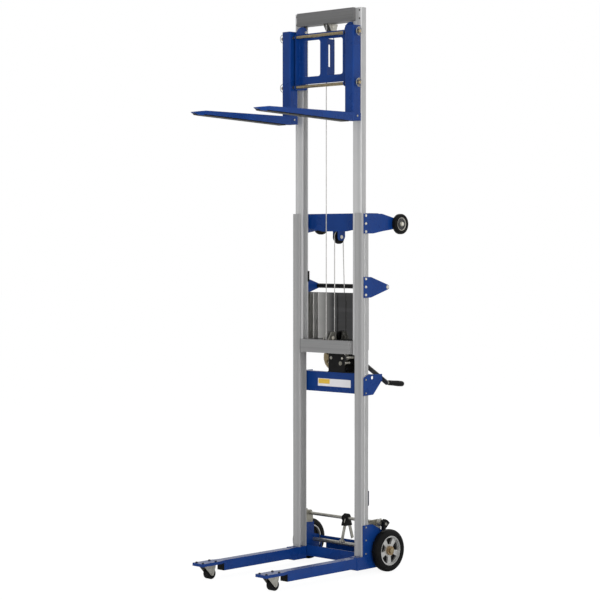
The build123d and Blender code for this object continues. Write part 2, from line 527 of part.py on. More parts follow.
def leg(side):
    """Square tube with a caster tray folded down around its tip."""
    x = side * LEG_X
    with BuildPart() as beam:
        with BuildSketch(Plane.XY.offset(LEG_TOP - TRAY_H)):
            Polygon(*tray_outline(x, 0), align=None)
        extrude(amount=TRAY_H)
        with BuildSketch(Plane.XY.offset(LEG_TOP - TRAY_H)):
            Polygon(*tray_outline(x, LEG_WALL), align=None)
        extrude(amount=TRAY_H - TRAY_T, mode=Mode.SUBTRACT)
        with Locations((x, SWIVEL_Y, LEG_TOP)):
            with GridLocations(2 * CASTER_BOLT_X, 2 * CASTER_BOLT_Y, 2, 2):
                Cylinder(BOLT_HOLE_R, 4 * TRAY_T, mode=Mode.SUBTRACT)
        with BuildSketch(Plane.XZ.offset(-LEG_FRONT)):
            with Locations((x, LEG_TOP - LEG_H / 2)):
                Rectangle(LEG_W, LEG_H)
                Rectangle(LEG_W - 2 * LEG_WALL, LEG_H - 2 * LEG_WALL, mode=Mode.SUBTRACT)
        extrude(amount=LEG_FRONT - LEG_REAR)
    return beam


def leg_plugs():
    z_tray = LEG_TOP - TRAY_H
    half, inner = LEG_W / 2, LEG_W / 2 - LEG_WALL
    with BuildPart() as plugs:
        for side in SIDES.values():
            x = side * LEG_X
            cap = (LEG_FRONT - PLUG_CAP, LEG_FRONT)
            block((x - half, x + half), cap, (LEG_BOTTOM, z_tray))
            stem = (LEG_FRONT, LEG_FRONT + PLUG_L)
            block((x - inner, x + inner), stem, (LEG_BOTTOM + LEG_WALL, z_tray))
    return plugs


def caster_mounts():
    plate_z = LEG_TOP - TRAY_T
    with BuildPart() as mounts:
        for side in SIDES.values():
            x = side * LEG_X
            with Locations((x, SWIVEL_Y, plate_z - CASTER_PLATE[2] / 2)):
                Box(*CASTER_PLATE)
                with GridLocations(2 * CASTER_BOLT_X, 2 * CASTER_BOLT_Y, 2, 2):
                    Cylinder(BOLT_HOLE_R, CASTER_PLATE[2], mode=Mode.SUBTRACT)
            rod_z(x, SWIVEL_Y, RACE_Z, plate_z - CASTER_PLATE[2], RACE_R)
            rod_z(x, SWIVEL_Y, RACE_Z, plate_z, PIN_R + RUN_FIT, Mode.SUBTRACT)
    return mounts


def caster_fork(side):
    """Crown, swivel stem, two cheeks and the axle pin."""
    x = side * LEG_X
    half = CASTER_W / 2 + CHEEK_GAP
    crown_top = RACE_Z - SWIVEL_GAP
    with BuildPart() as fork:
        rod_z(x, SWIVEL_Y, CROWN_Z, crown_top, CROWN_R)
        rod_z(x, SWIVEL_Y, CROWN_Z, LEG_TOP - TRAY_T - SWIVEL_GAP, PIN_R)
        for cheek in SIDES.values():
            outline = shifted(CASTER_CHEEK, SWIVEL_Y, CASTER_R)
            plate_x(x + cheek * half, cheek * CASTER_CHEEK_T, outline)
        pin_half = CASTER_W / 2 + CASTER_PIN_OUT
        rod_x(x - pin_half, x + pin_half, SWIVEL_Y + CASTER_TRAIL, CASTER_R, CASTER_PIN_R)
    return fork


def caster_wheel(side):
    low, high = side * LEG_X - CASTER_W / 2, side * LEG_X + CASTER_W / 2
    axle_y = SWIVEL_Y + CASTER_TRAIL
    with BuildPart() as wheel:
        rod_x(low, high, axle_y, CASTER_R, CASTER_R)
        fillet(wheel.edges().filter_by(GeomType.CIRCLE), CASTER_ROUND)
        rod_x(low, high, axle_y, CASTER_R, CASTER_PIN_R + RUN_FIT, Mode.SUBTRACT)
    return wheel


# Rear wheels and brake


def rear_axle():
    """Axle with its inner collars and end nuts."""
    half, plate_face = TYRE_X + TYRE_W / 2 - AXLE_SHORT, POST_OUT + BASE_PLATE_T
    with BuildPart() as axle:
        rod_x(-half, half, AXLE_Y, WHEEL_R, AXLE_R)
        for side in SIDES.values():
            collar_end = TYRE_X - TYRE_W / 2 - 0.4
            rod_x(side * plate_face, side * collar_end, AXLE_Y, WHEEL_R, AXLE_COLLAR_R)
            with BuildSketch(Plane.YZ.offset(side * half)):
                with Locations((AXLE_Y, WHEEL_R)):
                    RegularPolygon(AXLE_NUT_R, 6)
            extrude(amount=side * AXLE_NUT_T)
    return axle


def rear_hub(side):
    """Cast hub: rim band, web with five openings and a centre boss."""
    inner, outer = TYRE_X - TYRE_W / 2, TYRE_X + TYRE_W / 2 - HUB_FACE
    rim_in, rim_out = inner + RIM_SET_IN, TYRE_X + TYRE_W / 2 - RIM_SET_OUT
    web_in, web_out = TYRE_X + WEB_SHIFT - WEB_T / 2, TYRE_X + WEB_SHIFT + WEB_T / 2
    bore = AXLE_R + RUN_FIT
    with BuildPart() as hub:
        rod_x(side * rim_in, side * rim_out, AXLE_Y, WHEEL_R, RIM_R)
        rod_x(side * rim_in, side * web_in, AXLE_Y, WHEEL_R, RIM_R - RIM_T, Mode.SUBTRACT)
        rod_x(side * web_out, side * rim_out, AXLE_Y, WHEEL_R, RIM_R - RIM_T, Mode.SUBTRACT)
        with BuildSketch(Plane.YZ.offset(side * web_in)):
            with Locations((AXLE_Y, WHEEL_R)):
                with PolarLocations(0, HUB_SPOKES, start_angle=90):
                    Polygon(*HUB_WINDOW, align=None)
        extrude(amount=side * WEB_T, mode=Mode.SUBTRACT)
        rod_x(side * inner, side * outer, AXLE_Y, WHEEL_R, HUB_R)
        rod_x(side * inner, side * outer, AXLE_Y, WHEEL_R, bore, Mode.SUBTRACT)
    return hub


def rear_tyre(side):
    low, high = side * (TYRE_X - TYRE_W / 2), side * (TYRE_X + TYRE_W / 2)
    with BuildPart() as tyre:
        rod_x(low, high, AXLE_Y, WHEEL_R, WHEEL_R)
        fillet(tyre.edges().filter_by(GeomType.CIRCLE), TYRE_ROUND)
        rod_x(low, high, AXLE_Y, WHEEL_R, RIM_R, Mode.SUBTRACT)
    return tyre


def loading_wheel(side):
    low, high = LOAD_X - LOAD_W / 2, LOAD_X + LOAD_W / 2
    dish = side * (high - LOAD_DISH)
    with BuildPart() as wheel:
        rod_x(side * low, side * high, LOAD_Y, LOAD_Z, LOAD_R)
        fillet(wheel.edges().filter_by(GeomType.CIRCLE), LOAD_ROUND)
        rod_x(dish, side * high, LOAD_Y, LOAD_Z, LOAD_DISH_R, Mode.SUBTRACT)
        rod_x(dish, side * high, LOAD_Y, LOAD_Z, LOAD_BOSS_R)
        rod_x(side * low, side * high, LOAD_Y, LOAD_Z, LOAD_PIN_R + RUN_FIT, Mode.SUBTRACT)
    return wheel


def brake_brackets():
    with BuildPart() as brackets:
        for side in SIDES.values():
            outer, inner = side * POST_OUT, side * (POST_OUT - BASE_PLATE_T)
            plate_x(outer, side * -BASE_PLATE_T, shifted(BRACKET_SIDE, BRAKE_Y, BRAKE_Z))
            rod_x(outer, inner, BRAKE_Y, BRAKE_Z, BRAKE_R + RUN_FIT, Mode.SUBTRACT)
    return brackets


def pedal_outline(root, tip):
    """Flat arm between two places given from the rock shaft, as (Y, Z) corners."""
    y, z = tip[0] - root[0], tip[1] - root[1]
    length = hypot(y, z)
    ny, nz = -z / length * PEDAL_HALF, y / length * PEDAL_HALF
    corners = [(root[0] + ny, root[1] + nz), (root[0] - ny, root[1] - nz)]
    corners += [(tip[0] - ny, tip[1] - nz), (tip[0] + ny, tip[1] + nz)]
    return shifted(corners, BRAKE_Y, BRAKE_Z)


def brake_shaft():
    """Rock shaft with its two pedal arms, foot peg and shoe clamps."""
    end = SHOE_X - SHOE_W / 2
    with BuildPart() as shaft:
        rod_x(-end, end, BRAKE_Y, BRAKE_Z, BRAKE_R)
        for arm in PEDALS:
            plate_x(PEDAL_X, PEDAL_T, pedal_outline(*arm))
        rod_x(*PEG_X, BRAKE_Y + PEG_PLACE[0], BRAKE_Z + PEG_PLACE[1], PEG_R)
        for side in SIDES.values():
            rod_x(side * CLAMP_X[0], side * CLAMP_X[1], BRAKE_Y, BRAKE_Z, CLAMP_R)
            top = BRAKE_Z + CLAMP_R + CLAMP_BOLT_H
            rod_z(side * CLAMP_BOLT_X, BRAKE_Y, BRAKE_Z, top, CLAMP_BOLT_R)
    return shaft


def brake_hub():
    """Moulded hub that holds the two pedal arms on the rock shaft."""
    with BuildPart() as hub:
        plate_x(HUB_X[0], HUB_X[1] - HUB_X[0], shifted(HUB_SIDE, BRAKE_Y, BRAKE_Z))
        fillet(hub.edges().filter_by(Axis.X), HUB_ROUND)
        rod_x(*HUB_BOSS_X, BRAKE_Y, BRAKE_Z, HUB_BOSS_R)
        rod_x(*HUB_BOSS_X, BRAKE_Y, BRAKE_Z, BRAKE_R, Mode.SUBTRACT)
        for arm in PEDALS:
            plate_x(PEDAL_X, PEDAL_T, pedal_outline(*arm), Mode.SUBTRACT)
    return hub


def brake_shoes():
    """Rubber blocks whose longest corner swings onto the tyre."""
    with BuildPart() as shoes:
        for side in SIDES.values():
            outline = shifted(SHOE_SIDE, BRAKE_Y, BRAKE_Z)
            plate_x(side * (SHOE_X - SHOE_W / 2), side * SHOE_W, outline)
    return shoes


# Inner mast


def inner_post(side):
    with BuildPart() as post:
        with BuildSketch(Plane.XY.offset(INNER_BOTTOM)) as profile:
            with Locations((side * INNER_X, POST_MID_Y)):
                Rectangle(INNER_W, INNER_D)
            outside = profile.vertices().group_by(Axis.X)[-1 if side > 0 else 0]
            fillet(outside, INNER_CORNER)
            with Locations((side * (INNER_X - INNER_WALL), POST_MID_Y)):
                Rectangle(INNER_W, INNER_D - 2 * INNER_WALL, mode=Mode.SUBTRACT)
            groove(side * INNER_X, INNER_Y)
        extrude(amount=INNER_TOP - INNER_BOTTOM)
        for z in SCREW_Z:
            rod_y(INNER_Y, INNER_Y + INNER_WALL, side * SCREW_X, z, BOLT_HOLE_R, Mode.SUBTRACT)
            rod_y(INNER_Y, INNER_Y + SCREW_HEAD_H, side * SCREW_X, z, SCREW_HEAD_R + RUN_FIT, Mode.SUBTRACT)
    return post


def beam_box(low):
    """Tube let into both inner posts, with a deeper box on its front between them."""
    high = low + BEAM_H
    tube = (POST_MID_Y - BEAM_TUBE_D / 2, POST_MID_Y + BEAM_TUBE_D / 2)
    hollow = (low + BEAM_WALL, high - BEAM_WALL)
    block((-BEAM_TUBE_HALF, BEAM_TUBE_HALF), tube, (low, high))
    block((-BEAM_FACE_HALF, BEAM_FACE_HALF), (BEAM_FRONT, tube[0]), (low, high))
    inside = (tube[0] + BEAM_WALL, tube[1] - BEAM_WALL)
    block((-BEAM_TUBE_HALF, BEAM_TUBE_HALF), inside, hollow, Mode.SUBTRACT)
    face_half = BEAM_FACE_HALF - BEAM_WALL
    block((-face_half, face_half), (BEAM_FRONT + BEAM_WALL, tube[0]), hollow, Mode.SUBTRACT)


def sheave_slot(z_span):
    """Room for a sheave in a beam, closed at the beam's front."""
    x = (ROPE_X - CHEEK_IN, ROPE_X + CHEEK_IN)
    block(x, (BEAM_FRONT + BEAM_WALL, POST_REAR), z_span, Mode.SUBTRACT)


def top_beam():
    face = INNER_Y + INNER_WALL
    with BuildPart() as beam:
        beam_box(TOP_BEAM_Z)
        sheave_slot((TOP_BEAM_Z, HEAD_Z + HEAD_R + SHEAVE_RIM + 3))
        for side in SIDES.values():
            ear = (side * BEAM_FACE_HALF, side * BEAM_EAR)
            block(ear, (BEAM_FRONT, INNER_Y), (TOP_BEAM_Z, INNER_TOP))
            lip = (side * BEAM_EAR, side * BEAM_LIP)
            block(lip, (BEAM_FRONT, MAST_Y - 1), (TOP_BEAM_Z, INNER_TOP))
            for z in SCREW_Z:
                rod_y(face, face + 2 * BEAM_WALL, side * SCREW_X, z, BOLT_HOLE_R, Mode.SUBTRACT)
    return beam


def lower_beam():
    with BuildPart() as beam:
        beam_box(LOWER_BEAM_Z)
        sheave_slot((LOWER_Z - LOWER_R - SHEAVE_RIM - 3, LOWER_BEAM_Z + BEAM_H))
    return beam


def sheave_brackets():
    """Cheek plates of the head sheave, under the top beam, and of the lower sheave, on the lower beam."""
    reach = CHEEK_IN + CHEEK_T
    with BuildPart() as cheeks:
        for at, grow, (base, tip, length) in (
            (TOP_BEAM_Z, -1, HEAD_CHEEK),
            (LOWER_BEAM_Z + BEAM_H, 1, LOWER_CHEEK),
        ):
            end = at + grow * length
            outline = shifted([(base[0], at), (base[1], at), (tip[1], end), (tip[0], end)], MAST_Y)
            for side in SIDES.values():
                plate_x(ROPE_X + side * CHEEK_IN, side * CHEEK_T, outline)
        rod_x(ROPE_X - reach, ROPE_X + reach, HEAD_Y, HEAD_Z, PIN_R + RUN_FIT, Mode.SUBTRACT)
        rod_x(ROPE_X - reach, ROPE_X + reach, LOWER_Y, LOWER_Z, PIN_R + RUN_FIT, Mode.SUBTRACT)
    return cheeks


def headed_pin(y, z):
    """Sheave pin with a head on each end."""
    reach = CHEEK_IN + CHEEK_T
    rod_x(ROPE_X - reach, ROPE_X + reach, y, z, PIN_R)
    for side in SIDES.values():
        rod_x(ROPE_X + side * reach, ROPE_X + side * (reach + PIN_HEAD_H), y, z, PIN_HEAD_R)


def inner_fasteners():
    """Two sheave pins and the flush screws of the top beam."""
    with BuildPart() as pins:
        headed_pin(HEAD_Y, HEAD_Z)
        headed_pin(LOWER_Y, LOWER_Z)
        for side in SIDES.values():
            for z in SCREW_Z:
                rod_y(INNER_Y, INNER_Y + INNER_WALL + BEAM_WALL, side * SCREW_X, z, BOLT_R)
                rod_y(INNER_Y, INNER_Y + SCREW_HEAD_H, side * SCREW_X, z, SCREW_HEAD_R)
    return pins


# Carriage and forks


def rounded_window(plane, width, height, corner, depth):
    """Opening with rounded corners, cut from a plane along its normal."""
    with BuildSketch(plane) as opening:
        RectangleRounded(width, height, corner)
    extrude(opening.sketch, amount=depth, mode=Mode.SUBTRACT)


def carriage_frame():
    """Two side plates, a windowed face plate, the rope rib and the rope anchor."""
    face_rear, mid_z = FACE_Y + FACE_T, (WINDOW_Z[0] + WINDOW_Z[1]) / 2
    width, height = WINDOW_X[1] - WINDOW_X[0], WINDOW_Z[1] - WINDOW_Z[0]
    rib = (WINDOW_X[0] - SIDE_T, WINDOW_X[0])
    anchor_y = HEAD_Y + HEAD_R
    with BuildPart() as frame:
        block((-SIDE_X, SIDE_X), (FACE_Y, face_rear), FACE_Z)
        for side in SIDES.values():
            mid_x = side * (WINDOW_X[0] + WINDOW_X[1]) / 2
            plane = Plane(origin=(mid_x, FACE_Y, mid_z), x_dir=(1, 0, 0), z_dir=(0, 1, 0))
            rounded_window(plane, width, height, WINDOW_CORNER, FACE_T)
            plate_x(side * SIDE_X, side * SIDE_T, shifted(CARRIAGE_SIDE, MAST_Y))
            for z in ROD_Z:
                rod_x(side * SIDE_X, side * (SIDE_X + SIDE_T), ROD_Y, z, ROD_EYE_R)
        block(rib, (face_rear, RIB_REAR), WINDOW_Z)
        rib_edge = frame.edges().filter_by(Axis.X).group_by(Axis.Y)[-1].sort_by(Axis.Z)[0]
        fillet(rib_edge, RIB_CORNER)
        slot_z = (RIB_SLOT_Z[0] + RIB_SLOT_Z[1]) / 2
        slot_plane = Plane(origin=(rib[0], RIB_SLOT_Y, slot_z), x_dir=(0, 1, 0), z_dir=(1, 0, 0))
        rounded_window(slot_plane, SIDE_T * 3, RIB_SLOT_Z[1] - RIB_SLOT_Z[0], SIDE_T, SIDE_T)
        lug_low, lug_top = LUG_Z - 2 * LUG_T, LUG_Z - LUG_T
        block((ROPE_X - LUG_HALF, rib[1]), (LUG_FRONT, LUG_REAR), (lug_low, lug_top))
        block(rib, (LUG_FRONT, RIB_REAR - RIB_CORNER), (lug_low, WINDOW_Z[0] + RIB_CORNER))
        rod_z(ROPE_X, anchor_y, lug_top, LUG_Z, ANCHOR_R)
        behind = (LUG_REAR, LUG_REAR + 2 * ANCHOR_R)
        block((ROPE_X - ANCHOR_R, ROPE_X + ANCHOR_R), behind, (lug_top, LUG_Z), Mode.SUBTRACT)
        for z in ROD_Z:
            rod_x(-SIDE_X - SIDE_T, SIDE_X + SIDE_T, ROD_Y, z, ROD_R + 0.2, Mode.SUBTRACT)
        for z in GLIDE_BOLT_Z:
            rod_x(-SIDE_X - SIDE_T, SIDE_X + SIDE_T, GLIDE_BOLT_Y, z, BOLT_HOLE_R, Mode.SUBTRACT)
    return frame


def carriage_glides():
    """Four blocks that run in the inner posts, each held by a headed bolt."""
    y_span = (INNER_Y + INNER_WALL + GLIDE_GAP, INNER_Y + INNER_D - INNER_WALL - GLIDE_GAP)
    face, end = SIDE_X + SIDE_T, INNER_OUT - INNER_WALL - GLIDE_GAP
    with BuildPart() as glides:
        for side in SIDES.values():
            for z in GLIDE_BOLT_Z:
                block((side * face, side * end), y_span, (z - GLIDE_HALF_Z, z + GLIDE_HALF_Z))
                rod_x(side * (SIDE_X - GLIDE_HEAD), side * face, GLIDE_BOLT_Y, z, BOLT_R)
                rod_x(side * (SIDE_X - GLIDE_HEAD), side * SIDE_X, GLIDE_BOLT_Y, z, BOLT_HEAD_R)
    return glides


def fork_rods():
    with BuildPart() as rods:
        for z in ROD_Z:
            rod_x(-ROD_HALF, ROD_HALF, ROD_Y, z, ROD_R)
            for side in SIDES.values():
                x = side * (ROD_HALF - ROD_PIN_IN)
                rod_z(x, ROD_Y, z - 2 * ROD_R, z + 2 * ROD_R, PIN_WIRE_R + 0.2, Mode.SUBTRACT)
    return rods


def ring_pins():
    """Quick-release pins through the rod ends, each with a wire ring."""
    with BuildPart() as pins:
        for z in ROD_Z:
            for side in SIDES.values():
                x = side * (ROD_HALF - ROD_PIN_IN)
                rod_z(x, ROD_Y, z - PIN_L / 2, z + PIN_L / 2, PIN_WIRE_R)
                rod_z(x, ROD_Y, z + PIN_L / 2 - 6, z + PIN_L / 2 - 6 + PIN_CAP_L, PIN_CAP_R)
                with Locations(Location((x + side * RING_OUT, ROD_Y, z), (0, 90, 0))):
                    Torus(RING_R, RING_WIRE)
    return pins


def fork(side):
    """Upright channel on a tapered tine with a pointed nose and an under-plate."""
    x, half, wall = side * FORK_X, FORK_W / 2, FORK_WALL
    low, high = x - half, x + half
    bend_z, heel_z, chin_z = TINE_BOTTOM + BEND_RISE, TINE_BOTTOM + HEEL_RISE, TINE_TOP - CHIN_DROP
    with BuildPart() as body:
        profile = [(TINE_TIP, TINE_TOP - TIP_DROP[0]), (TINE_NOSE, TINE_TOP), (TINE_HEEL, TINE_TOP)]
        profile += [(TINE_HEEL, heel_z), (TINE_BEND, bend_z)]
        profile += [(TINE_CHIN, chin_z), (TINE_TIP, TINE_TOP - TIP_DROP[1])]
        plate_x(low, FORK_W, profile)
        inside = (low + wall, high - wall)
        block(inside, (TINE_NOSE, TINE_HEEL - wall), (TINE_BOTTOM - wall, TINE_TOP - wall), Mode.SUBTRACT)
        drop = UNDER_T - UNDER_LAP
        under = [(TINE_CHIN, chin_z + UNDER_LAP), (TINE_BEND, bend_z + UNDER_LAP)]
        under += [(TINE_BEND, bend_z - drop), (TINE_CHIN + UNDER_T, chin_z - drop)]
        plate_x(low + UNDER_IN, FORK_W - 2 * UNDER_IN, under)
        with BuildSketch(Plane.XY.offset(TINE_BOTTOM - wall)):
            plan = [(low, TINE_HEEL), (low, TINE_NOSE), (x - TIP_HALF, TINE_TIP)]
            plan += [(x + TIP_HALF, TINE_TIP), (high, TINE_NOSE), (high, TINE_HEEL)]
            Polygon(*plan, align=None)
        extrude(amount=TINE_TOP - TINE_BOTTOM + wall, mode=Mode.INTERSECT)
        with BuildSketch(Plane.XY.offset(TINE_TOP - wall)) as upright:
            with Locations((x, (FORK_Y[0] + FORK_Y[1]) / 2)):
                Rectangle(FORK_W, FORK_Y[1] - FORK_Y[0])
            fillet(upright.vertices().group_by(Axis.Y)[0], FORK_CORNER)
        extrude(amount=FORK_TOP - TINE_TOP + wall)
        channel = (FORK_Y[0] + wall, FORK_Y[1])
        block((low + wall, high - wall), channel, (TINE_TOP, FORK_TOP), Mode.SUBTRACT)
        for z in ROD_Z:
            rod_x(low, high, ROD_Y, z, ROD_R + 0.35, Mode.SUBTRACT)
        for end in SIDES.values():
            face = x + end * half
            rod_x(face, face + end * HEEL_BOLT_H, HEEL_BOLT_Y, HEEL_BOLT_Z, HEEL_BOLT_R)
    return body


# Rope


def add(a, b, scale=1.0):
    return tuple(p + scale * q for p, q in zip(a, b))


def dot(a, b):
    return sum(p * q for p, q in zip(a, b))


def unit(a):
    return add((0, 0, 0), a, 1 / sqrt(dot(a, a)))


def biarc(p1, t1, p2, t2):
    """Two tangent arcs from p1 to p2 with the given end directions."""
    v = add(p2, p1, -1)
    t = add(t1, t2)
    bend = 2 * (1 - dot(t1, t2))
    d = (-dot(v, t) + sqrt(dot(v, t) ** 2 + bend * dot(v, v))) / bend
    middle = add((0, 0, 0), add(add(p1, p2), add(t1, t2, -1), d), 0.5)
    first = TangentArc(p1, middle, tangent=t1)
    TangentArc(middle, p2, tangent=first % 1)


def helix_point(angle):
    """Rope centre on the drum, where angle 0 is the point the rope leaves from."""
    y = WIND_Y + WIND_PITCH * (WIND_LOOPS + angle / (2 * pi))
    return (DRUM_X + DRUM_R * cos(angle), y, DRUM_Z + DRUM_R * sin(angle))


def helix_direction(angle):
    return unit((-DRUM_R * sin(angle), WIND_PITCH / (2 * pi), DRUM_R * cos(angle)))


def leaving_line():
    """Direction of the rope from the drum to the top sheave, and where it meets the sheave."""
    y, z = helix_point(0)[1:]
    to_y, to_z = TOP_Y - y, TOP_Z - z
    distance = hypot(to_y, to_z)
    angle = atan2(to_z, to_y) - asin(TOP_R / distance)
    length = sqrt(distance**2 - TOP_R**2)
    return (0.0, cos(angle), sin(angle)), (ROPE_X, y + length * cos(angle), z + length * sin(angle))


ROPE_UP, TOP_MEET = leaving_line()
STUB = 2 * ROPE_R


def rope_winding():
    """Helix round the drum in quarter turns, with a short straight end on each side."""
    quarters = 4 * WIND_LOOPS
    first = -2 * pi * WIND_LOOPS
    start = add(helix_point(first), helix_direction(first), -STUB)
    with BuildPart() as winding:
        with BuildLine() as path:
            Line(start, helix_point(first))
            for k in range(quarters):
                a, b = first + k * pi / 2, first + (k + 1) * pi / 2
                leave = ROPE_UP if k == quarters - 1 else helix_direction(b)
                biarc(helix_point(a), helix_direction(a), helix_point(b), leave)
            Line(helix_point(0), add(helix_point(0), ROPE_UP, STUB))
        with BuildSketch(Plane(origin=start, z_dir=helix_direction(first))):
            Circle(ROPE_R)
        sweep(path=path.line)
    samples = 4000
    points = [path.line @ (k / samples) for k in range(samples + 1)]
    half_turn = samples // (2 * WIND_LOOPS)
    gap = min((p - q).length for i, p in enumerate(points[::20]) for q in points[20 * i + half_turn :: 4])
    print("winding: least gap to itself", round(gap - 2 * ROPE_R, 2), "mm")
    print("winding: rope length", round(sum(edge.length for edge in path.edges())), "mm")
    return winding


def rope_rear_fall():
    """From the winding up to the top sheave and over it."""
    start = add(helix_point(0), ROPE_UP, STUB)
    crown = (ROPE_X, TOP_Y, TOP_Z + TOP_R)
    leave = (ROPE_X, TOP_Y - TOP_R, TOP_Z)
    with BuildPart() as rope:
        with BuildLine() as path:
            Line(start, TOP_MEET)
            arc = TangentArc(TOP_MEET, crown, tangent=ROPE_UP)
            TangentArc(crown, leave, tangent=arc % 1)
            Line(leave, add(leave, (0, 0, -STUB)))
        with BuildSketch(Plane(origin=start, z_dir=ROPE_UP)):
            Circle(ROPE_R)
        sweep(path=path.line)
    print("rear fall: rope length", round(sum(edge.length for edge in path.edges())), "mm")
    return rope


def straight_fall(y, z_low, z_high):
    with BuildPart() as rope:
        rod_z(ROPE_X, y, z_low, z_high, ROPE_R)
    print("straight fall: rope length", round(z_high - z_low), "mm")
    return rope


def rope_mast_loop():
    """Under the lower sheave, up the inner mast and over the head sheave."""
    meet = (ROPE_X, LOWER_Y + LOWER_R, LOWER_Z)
    bottom = (ROPE_X, LOWER_Y, LOWER_Z - LOWER_R)
    rise = (ROPE_X, LOWER_Y - LOWER_R, LOWER_Z)
    reach = (ROPE_X, HEAD_Y - HEAD_R, HEAD_Z)
    crown = (ROPE_X, HEAD_Y, HEAD_Z + HEAD_R)
    leave = (ROPE_X, HEAD_Y + HEAD_R, HEAD_Z)
    start = add(meet, (0, 0, STUB))
    with BuildPart() as rope:
        with BuildLine() as path:
            Line(start, meet)
            TangentArc(meet, bottom, tangent=(0, 0, -1))
            TangentArc(bottom, rise, tangent=(0, -1, 0))
            Line(rise, reach)
            TangentArc(reach, crown, tangent=(0, 0, 1))
            TangentArc(crown, leave, tangent=(0, 1, 0))
            Line(leave, add(leave, (0, 0, -STUB)))
        with BuildSketch(Plane(origin=start, z_dir=(0, 0, -1))):
            Circle(ROPE_R)
        sweep(path=path.line)
    print("mast loop: rope length", round(sum(edge.length for edge in path.edges())), "mm")
    return rope


# Bolts of the base body


def slot_bolt(side, z, plate):
    """Bolt through a side plate into a post slot."""
    face = POST_OUT + plate
    rod_x(side * (POST_OUT - SLOT_DEPTH + 1), side * face, BOLT_Y, z, BOLT_R)
    rod_x(side * face, side * (face + BOLT_HEAD_H), BOLT_Y, z, BOLT_HEAD_R)


def loading_axle(side):
    """Headed bolt through a loading arm and its wheel, with a nut outside."""
    inside, outside = POST_OUT + ARM_JOG, LOAD_X + LOAD_W / 2
    rod_x(side * (inside - 5), side * (outside + 2), LOAD_Y, LOAD_Z, LOAD_PIN_R)
    rod_x(side * (inside - 5), side * inside, LOAD_Y, LOAD_Z, LOAD_HEAD_R)
    rod_x(side * (outside + 0.5), side * (outside + 6), LOAD_Y, LOAD_Z, LOAD_NUT_R)


def handle_bolt(side):
    face = POST_OUT + PLATE_T
    rod_x(side * (POST_OUT - HANDLE_THREAD), side * face, HANDLE_Y, HANDLE_Z, BOLT_R)
    rod_x(side * face, side * (face + HANDLE_HEAD_H), HANDLE_Y, HANDLE_Z, HANDLE_HEAD_R)


def guard_screw(x, z):
    """Spacer between a post and the guard panel, with its screw."""
    rear = GUARD_Y + GUARD_T
    rod_y(POST_REAR, GUARD_Y, x, z, GUARD_SPACER_R)
    rod_y(GUARD_Y, rear, x, z, BOLT_R)
    rod_y(rear, rear + GUARD_HEAD_H, x, z, GUARD_HEAD_R)


def frame_bolts():
    with BuildPart() as bolts:
        for side in SIDES.values():
            for z in ARM_BOLTS + HANDLE_BOLTS + WINCH_BOLTS:
                slot_bolt(side, z, PLATE_T)
            for z in BASE_BOLTS:
                slot_bolt(side, z, BASE_PLATE_T)
            handle_bolt(side)
            loading_axle(side)
            for z in GUARD_SCREWS:
                guard_screw(side * POST_X, z)
            with Locations((side * LEG_X, SWIVEL_Y, LEG_TOP - 1)):
                with GridLocations(2 * CASTER_BOLT_X, 2 * CASTER_BOLT_Y, 2, 2):
                    Cylinder(BOLT_R, CASTER_BOLT_L)
            with BuildSketch(Plane.XY.offset(LEG_TOP)):
                with Locations((side * LEG_X, SWIVEL_Y)):
                    with GridLocations(2 * CASTER_BOLT_X, 2 * CASTER_BOLT_Y, 2, 2):
                        RegularPolygon(BOLT_HEAD_R, 6)
            extrude(amount=CASTER_HEAD_H)
        headed_pin(TOP_Y, TOP_Z)
    return bolts


for label, sign in SIDES.items():
    save(outer_post(sign), f"outer_post_{label}")
    save(inner_post(sign), f"inner_post_{label}")
    save(loading_arm(sign), f"loading_arm_{label}")
    save(loading_wheel(sign), f"loading_wheel_{label}")
    save(handle_bracket(sign), f"handle_bracket_{label}")
    save(leg(sign), f"leg_{label}")
    save(caster_fork(sign), f"caster_fork_{label}")
    save(caster_wheel(sign), f"caster_wheel_{label}")
    save(rear_hub(sign), f"rear_hub_{label}")
    save(rear_tyre(sign), f"rear_tyre_{label}")
    save(fork(sign), f"fork_{label}")

save(base_frame(), "base_frame")
save(leg_plugs(), "leg_plugs")
save(caster_mounts(), "caster_mounts")
save(rear_axle(), "rear_axle")
save(top_crossmember(), "top_crossmember")
save(push_bar(), "push_bar")
save(guard_panel(), "guard_panel")
save(mast_bumpers(), "mast_bumpers")
save(frame_bolts(), "frame_bolts")
outer_faces = (POST_OUT - POST_WEB, MAST_Y + POST_FLANGE, POST_REAR - POST_FLANGE)
save(glide_pads(*outer_faces, POST_TOP - PAD_L - 10, True), "outer_glides")
inner_faces = (INNER_OUT, INNER_Y, INNER_Y + INNER_D)
save(glide_pads(*inner_faces, INNER_BOTTOM + 7, False), "inner_glides")

save(winch_crossmember(), "winch_crossmember")
save(winch_frame(), "winch_frame")
save(winch_drum(), "winch_drum")
save(drum_gear(), "drum_gear")
save(pinion_shaft(), "pinion_shaft")
save(crank_arm(), "crank_arm")
save(crank_grip(), "crank_grip")

save(brake_brackets(), "brake_brackets")
save(brake_shaft(), "brake_shaft")
save(brake_hub(), "brake_hub")
save(brake_shoes(), "brake_shoes")

save(top_beam(), "top_beam")
save(lower_beam(), "lower_beam")
save(sheave_brackets(), "sheave_brackets")
save(inner_fasteners(), "inner_fasteners")
save(sheave(TOP_Y, TOP_Z, TOP_R), "top_sheave")
save(sheave(LOWER_Y, LOWER_Z, LOWER_R), "lower_sheave")
save(sheave(HEAD_Y, HEAD_Z, HEAD_R), "head_sheave")

save(carriage_frame(), "carriage_frame")
save(carriage_glides(), "carriage_glides")
save(fork_rods(), "fork_rods")
save(ring_pins(), "ring_pins")

